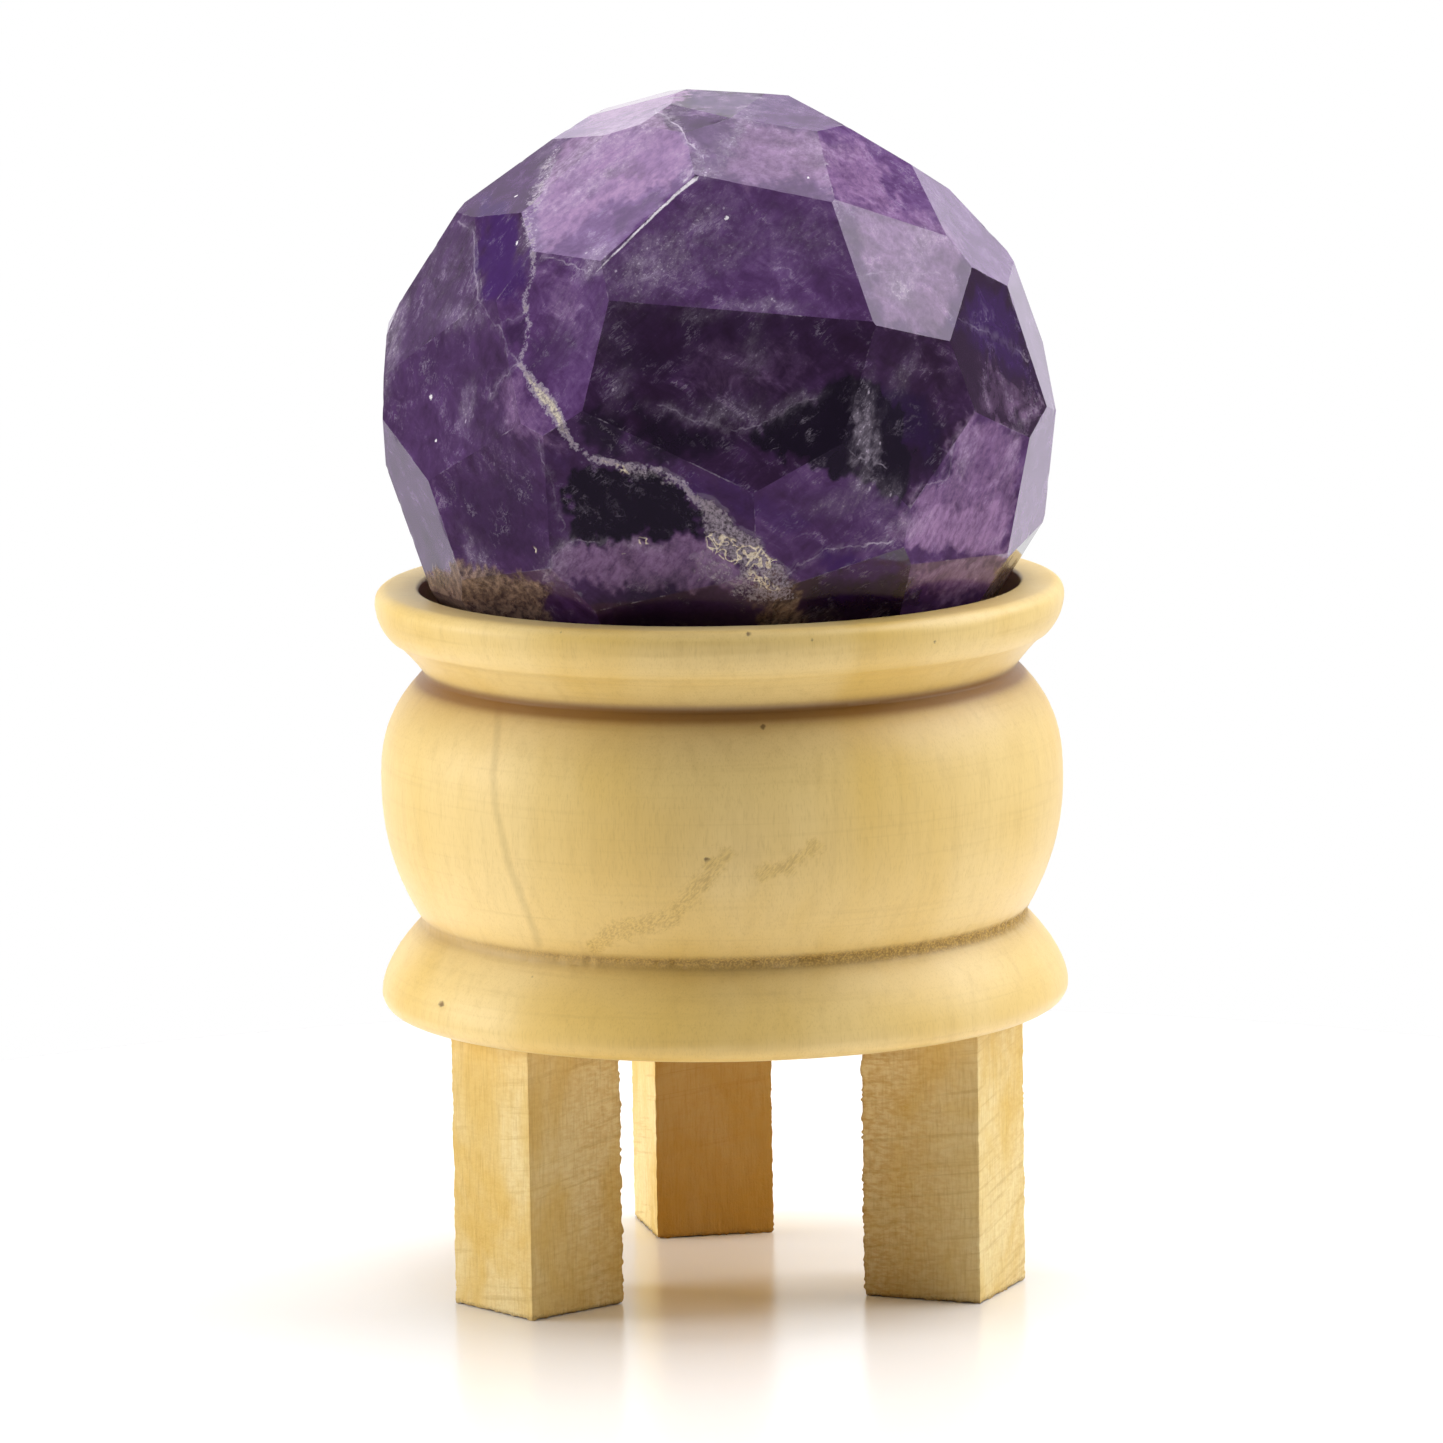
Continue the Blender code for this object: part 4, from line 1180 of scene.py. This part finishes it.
def sawn_wood_material(settings):
    """The same pale hardwood, straight from the saw and left bare.

    It is matt, furry at its edges and crossed by slanting saw marks.
    """
    material, tree, shader, place, marks = start_material(
        "bare_sawn_wood", ("saw", "corner", "height", "brown", "ragged"))
    node = partial(add_node, tree)
    grain = add_patterns(tree, place, SAWN_PATTERNS)
    shade = settings.sawn_shade
    wood = node(BLEND, node(EASE, grain["patches"], 0.3, 0.7), settings.sawn_warm, settings.sawn_pale)
    # Painted shade on the sides that face the front
    wood = node(BLEND, node(TIMES, marks["brown"], 0.85), wood, shade)
    wood = node(BLEND, node(EASE, grain["fibres"], 0.42, 0.75, 0.0, 0.26), wood, shade)
    mottled = node(TIMES_ADD, marks["ragged"], 0.5, 0.03)
    mottled = node(TIMES, node(EASE, grain["mottle"], 0.36, 0.68), mottled)
    wood = node(BLEND, mottled, wood, MOTTLE_BROWN)
    across = node(("ShaderNodeCombineXYZ", {}, ("X", "Y", "Z"), 0), marks["saw"], 0.0, 0.0)
    cuts = node(NOISE, node(BENT, place, (0.05, 0.05, 0.05), across), 1.1, 5, 0.66, 0.0)
    cuts = node(TIMES, node(EASE, cuts, 0.53, 0.63), node(EASE, grain["patches"], 0.38, 0.6, 0.0, 0.22))
    wood = node(BLEND, cuts, wood, shade)
    ragged = node(EASE, node(TIMES_ADD, grain["fuzz"], 0.5, marks["corner"]), 0.70, 0.2, 0.0, 0.5)
    wood = node(BLEND, node(TIMES, ragged, marks["ragged"]), wood, shade)
    foot = node(EASE, node(TIMES_ADD, grain["fuzz"], 0.8, marks["height"]), 1.0, 0.35, 0.0, 0.55)
    wood = node(BLEND, foot, wood, FOOT_BROWN)
    tree.links.new(wood, shader.inputs["Base Color"])
    shader.inputs["Roughness"].default_value = 0.85
    shader.inputs["Specular IOR Level"].default_value = 0.3
    height = node(TIMES_ADD, grain["fibres"], 0.8, node(TIMES, grain["fuzz"], 0.7))
    tree.links.new(node(BUMP, height, 0.6, 0.12 * MM), shader.inputs["Normal"])
    return material


# The stage

# Size of the round floor and of the light that stands for the table round it
FLOOR_RADIUS = 0.14
TABLE_SIZE = 0.9
# Lights: name, bearing and height in degrees and distance from what each is aimed at, its side, the height
# of its aim, the setting with its watts, and whether it is mirrored
LIGHTS = (
    ("soft_right", 14, 44, 0.62, 0.56, 0.07, "high_right_power", True),
    ("soft_left", 165, 50, 0.90, 0.60, 0.07, "high_left_power", True),
    ("soft_top", 90, 62, 0.75, 0.5, 0.07, "top_power", True),
    ("wall_right", -2, 13, 1.0, 0.55, 0.07, "low_right_power", False),
    ("wall_left", 178, 11, 1.0, 0.45, 0.07, "low_left_power", False),
    ("left_sheen", 178, 11, 1.0, 0.45, 0.07, "sheen_power", True),
    ("floor_wash", 90, 80, 1.4, 0.9, 0.0, "wash_power", False),
    ("soft_front", -90, 62, 1.2, 0.7, 0.07, "front_power", False),
    ("table_glow", 0, 90, 0.001, TABLE_SIZE, -0.003, "table_power", False),
)


def place_camera():
    forward, right, up = camera_axes()
    data = bpy.data.cameras.new("photo_camera")
    data.sensor_width = SENSOR_MM
    data.lens = FOCAL_PX / IMAGE_PX * SENSOR_MM
    camera = bpy.data.objects.new("photo_camera", data)
    turn = Matrix((right, up, -forward)).transposed()
    camera.matrix_world = Matrix.Translation(CAMERA_PLACE) @ turn.to_4x4()
    bpy.context.scene.collection.objects.link(camera)
    bpy.context.scene.camera = camera


def add_softbox(name, bearing, height, distance, side, aim_height, power, mirrored):
    """A square soft light that looks at a place on the object's upright axis."""
    data = bpy.data.lights.new(name, "AREA")
    data.shape = "RECTANGLE"
    data.size = data.size_y = side
    data.energy = power
    light = bpy.data.objects.new(name, data)
    way = Vector(direction(bearing, height))
    light.location = Vector((0.0, 0.0, aim_height)) + way * distance
    light.rotation_euler = way.to_track_quat("Z", "Y").to_euler()
    light.visible_camera = False
    light.visible_glossy = mirrored
    bpy.context.scene.collection.objects.link(light)
    return light


def light_room(settings):
    """A pale room: bright low down behind the object, dimmer above that and on the side of the camera."""
    world = bpy.data.worlds.new("pale_room")
    world.use_nodes = True
    tree = world.node_tree
    node = partial(add_node, tree)
    way = node(("ShaderNodeTexCoord", {}, (), "Generated"))
    parts = node(("ShaderNodeSeparateXYZ", {}, ("Vector",), "Y"), way)
    back = node(EASE, parts, 0.62, 0.93, settings.room_front, settings.room_back)
    back = node(TIMES, back, node(EASE, parts.node.outputs["Z"], 0.26, 0.36, 1.0, settings.room_high))
    seen = node(("ShaderNodeLightPath", {}, (), "Is Camera Ray"))
    fill = node(TIMES_ADD, seen.node.outputs["Is Diffuse Ray"], settings.room_fill - 1, 1.0)
    back = node(TIMES, back, fill)
    strength = node(("ShaderNodeMix", {"data_type": "FLOAT"}, (0, 2, 3), 0), seen, back, 1.0)
    tree.links.new(strength, tree.nodes["Background"].inputs["Strength"])
    tree.nodes["Background"].inputs["Color"].default_value = (1.0, 1.0, 1.0, 1.0)
    bpy.context.scene.world = world


def make_stage(settings):
    """Floor, room, lights and camera."""
    deselect()
    bpy.ops.mesh.primitive_circle_add(vertices=128, radius=FLOOR_RADIUS, fill_type="NGON")
    floor = bpy.context.active_object
    floor.name = "floor"
    # Cast acrylic: white, and smooth enough to mirror the feet of the legs softly
    material, _, shader, _, _ = start_material("white_acrylic_table", ())
    for socket, value in (("Base Color", settings.floor_colour), ("Roughness", 0.22), ("IOR", 1.49)):
        shader.inputs[socket].default_value = value
    floor.data.materials.append(material)
    lights = {}
    for name, *place, power, mirrored in LIGHTS:
        lights[name] = add_softbox(name, *place, getattr(settings, power), mirrored)
    lights["left_sheen"].visible_diffuse = False
    lights["table_glow"].rotation_euler = (math.pi, 0.0, 0.0)
    light_room(settings)
    place_camera()
    bpy.context.scene.view_settings.view_transform = "Standard"
    bpy.context.scene.view_settings.look = "None"


# What a user may change

def setting(kind, name, description, value, **limits):
    return kind(name=name, description=description, default=value, **limits)


def colour(name, description, hex_colour):
    return setting(FloatVectorProperty, name, description, linear(hex_colour), subtype="COLOR", size=4,
                   min=0.0, max=1.0)


length = partial(setting, FloatProperty, min=0.0, unit="LENGTH", precision=5)
share = partial(setting, FloatProperty, min=0.0, max=1.0, subtype="FACTOR")
number = partial(setting, FloatProperty, min=0.0)
watts = partial(setting, FloatProperty, min=0.0, unit="POWER")
count = partial(setting, IntProperty, min=0)


class SPHERE_PG_ball(bpy.types.PropertyGroup):
    edge_round: length("Edge round", "How far the ground edges are broken", 0.015 * MM)
    mesh_step: length("Mesh step", "Size of the triangles on the front flats", 0.37 * MM)
    vein_depth: length("Vein depth", "Depth of the pitted cream vein", 0.10 * MM)
    gravel_depth: length("Gravel depth", "Depth of the pits in the granular places", 0.12 * MM)
    crack_depth: length("Crack depth", "Depth of the healed cracks", 0.04 * MM)
    chip_depth: length("Chip depth", "Depth of the splintered edge", 0.15 * MM)
    nick_depth: length("Nick depth", "Depth of the small nicks along the edges", 0.04 * MM)
    ior: number("IOR", "Refractive index of quartz", 1.544, min=1.0, max=3.0)
    sheen_level: share("Sheen level", "Strength of the mirror light", 0.4)
    deep_violet: colour("Deep violet", "Clear parts", "#2b1531")
    violet: colour("Violet", "Body of the stone", "#563668")
    blue_violet: colour("Blue violet", "Clear parts with the strongest colour", "#3c1d5c")
    lilac: colour("Lilac", "Milky parts", "#87689b")
    pink: colour("Pink lilac", "Milky parts with a pink tinge", "#9f7ca6")
    ink: colour("Ink", "Deepest clear parts", "#150b1e")
    frost: colour("Frost", "Healed cracks and veils", "#c6b8cc")
    cream: colour("Cream", "The cream vein", "#d6cab6")
    gravel: colour("Gravel", "Granular places beside the vein", "#a394a2")
    crystal: colour("Crystals", "Coarse crystals in the vein", "#ecdfca")


class SPHERE_PG_stand(bpy.types.PropertyGroup):
    recess_depth: length("Recess depth", "From the rim to the floor of the recess", 16.2 * MM)
    floor_radius: length("Floor radius", "Flat floor of the recess", 10.6 * MM)
    rim_round: length("Rim round", "Round of the inner rim", 0.4 * MM)
    lip_width: length("Lip width", "Width of the lip", 4.3 * MM)
    lip_top_round: length("Lip top round", "Round of the lip's top edge", 1.3 * MM)
    lip_side_round: length("Lip side round", "Round of the lip's side", 4.9 * MM)
    upper_groove: length("Upper groove", "Height of the upper groove", 0.4 * MM)
    upper_groove_depth: length("Upper groove depth", "Depth of the upper groove", 4.6 * MM)
    belly_height: length("Belly height", "Height of the swelling middle", 23.8 * MM)
    belly_widest: length("Belly widest", "Height of its widest place", 13.1 * MM)
    belly_setback: length("Belly setback", "How far the belly stands behind the foot", 0.3 * MM)
    belly_power_above: number("Upper fullness", "Fullness of the belly above", 2.6, min=1.0)
    belly_power_below: number("Lower fullness", "Fullness of the belly below", 2.2, min=1.0)
    lower_groove: length("Lower groove", "Height of the lower groove", 0.8 * MM)
    lower_groove_depth: length("Lower groove depth", "Depth of the lower groove", 3.9 * MM)
    foot_height: length("Foot height", "Height of the ring at the bottom", 8.5 * MM)
    foot_power: number("Foot fullness", "Fullness of the foot", 1.7, min=1.0)
    foot_round: length("Foot round", "Round of the foot's lower edge", 1.8 * MM)
    torn_depth: length("Torn depth", "Depth of the torn fibres in the lower groove", 0.22 * MM)
    wax: share("Wax", "Weight of the wax over the wood", 0.35)
    turning_steps: count("Turning steps", "Steps of the turned mesh", 480, min=16)
    wood_pale: colour("Pale wood", "Lighter wood", "#edcf88")
    wood_warm: colour("Warm wood", "Yellower wood", "#e5c16b")
    wood_shade: colour("Wood shade", "Pores and darker growth", "#a87f36")


class SPHERE_PG_legs(bpy.types.PropertyGroup):
    leg_cuts: count("Cuts", "Cuts across each side of the stock", 33, min=4)
    upright_cuts: count("Upright cuts", "Further cuts along the stock", 4)
    saw_depth: length("Saw depth", "Depth of the saw marks", 0.035 * MM)
    ragged_depth: length("Ragged depth", "Depth of the ragged edges", 0.17 * MM)
    sawn_pale: colour("Pale sawn wood", "Lighter wood", "#efdca4")
    sawn_warm: colour("Warm sawn wood", "Warmer wood", "#e2c172")
    sawn_shade: colour("Sawn shade", "Fibres and saw marks", "#a4700c")


class SPHERE_PG_stage(bpy.types.PropertyGroup):
    floor_colour: colour("Floor", "The table", "#f4f1f0")
    room_back: number("Room behind", "Brightness behind the object", 1.0)
    room_high: share("Room above", "Share of it higher up behind", 0.65)
    room_fill: share("Room fill", "Share of the room's light that fills", 0.52)
    table_power: watts("Table light", "Watts of the light that the table round it throws up", 2.4)
    room_front: number("Room in front", "Brightness on the camera's side", 0.18)
    high_right_power: watts("High right", "Watts of the high right light", 3.2)
    low_right_power: watts("Low right", "Watts of the low right light", 3.0)
    high_left_power: watts("High left", "Watts of the high left light", 1.3)
    low_left_power: watts("Low left", "Watts of the low left light", 8.0)
    front_power: watts("Front", "Watts of the light above the camera", 1.6)
    sheen_power: watts("Sheen", "Watts of the light that the wax mirrors", 3.0)
    wash_power: watts("Floor light", "Watts of the light over the floor", 12.5)
    top_power: watts("Top light", "Watts of the top light", 1.2)


class SPHERE_OT_ball(bpy.types.Operator):
    """Make the faceted amethyst ball"""
    bl_idname = "sphere.ball"
    bl_label = "Amethyst ball"

    def execute(self, context):
        make_ball(context.scene.sphere_ball)
        return {"FINISHED"}


class SPHERE_OT_stand(bpy.types.Operator):
    """Make the turned wooden stand"""
    bl_idname = "sphere.stand"
    bl_label = "Turned stand"

    def execute(self, context):
        make_stand(context.scene.sphere_stand)
        return {"FINISHED"}


class SPHERE_OT_legs(bpy.types.Operator):
    """Make the three sawn legs"""
    bl_idname = "sphere.legs"
    bl_label = "Sawn legs"

    def execute(self, context):
        settings = context.scene.sphere_legs
        material = sawn_wood_material(settings)
        for name, node, *habit in LEGS:
            hand_over(make_leg(name, node, *habit, settings), node, material)
        return {"FINISHED"}


class SPHERE_OT_stage(bpy.types.Operator):
    """Make the floor, the lights and the camera"""
    bl_idname = "sphere.stage"
    bl_label = "Stage"

    def execute(self, context):
        make_stage(context.scene.sphere_stage)
        return {"FINISHED"}


class SPHERE_PT_panel(bpy.types.Panel):
    """Lists the pieces"""
    bl_label = "Decorative sphere"
    bl_space_type = "VIEW_3D"
    bl_region_type = "UI"
    bl_category = "Sphere"

    def draw(self, context):
        for operator in OPERATORS:
            self.layout.operator(operator.bl_idname)


GROUPS = {
    "sphere_ball": SPHERE_PG_ball,
    "sphere_stand": SPHERE_PG_stand,
    "sphere_legs": SPHERE_PG_legs,
    "sphere_stage": SPHERE_PG_stage,
}
OPERATORS = (SPHERE_OT_ball, SPHERE_OT_stand, SPHERE_OT_legs, SPHERE_OT_stage)


def register():
    for name, group in GROUPS.items():
        bpy.utils.register_class(group)
        setattr(bpy.types.Scene, name, PointerProperty(type=group))
    for operator in OPERATORS:
        bpy.utils.register_class(operator)
    bpy.utils.register_class(SPHERE_PT_panel)


def unregister():
    bpy.utils.unregister_class(SPHERE_PT_panel)
    for operator in reversed(OPERATORS):
        bpy.utils.unregister_class(operator)
    for name, group in GROUPS.items():
        delattr(bpy.types.Scene, name)
        bpy.utils.unregister_class(group)


def main():
    register()
    bpy.ops.sphere.ball()
    bpy.ops.sphere.stand()
    bpy.ops.sphere.legs()
    bpy.ops.sphere.stage()


if __name__ == "__main__":
    main()
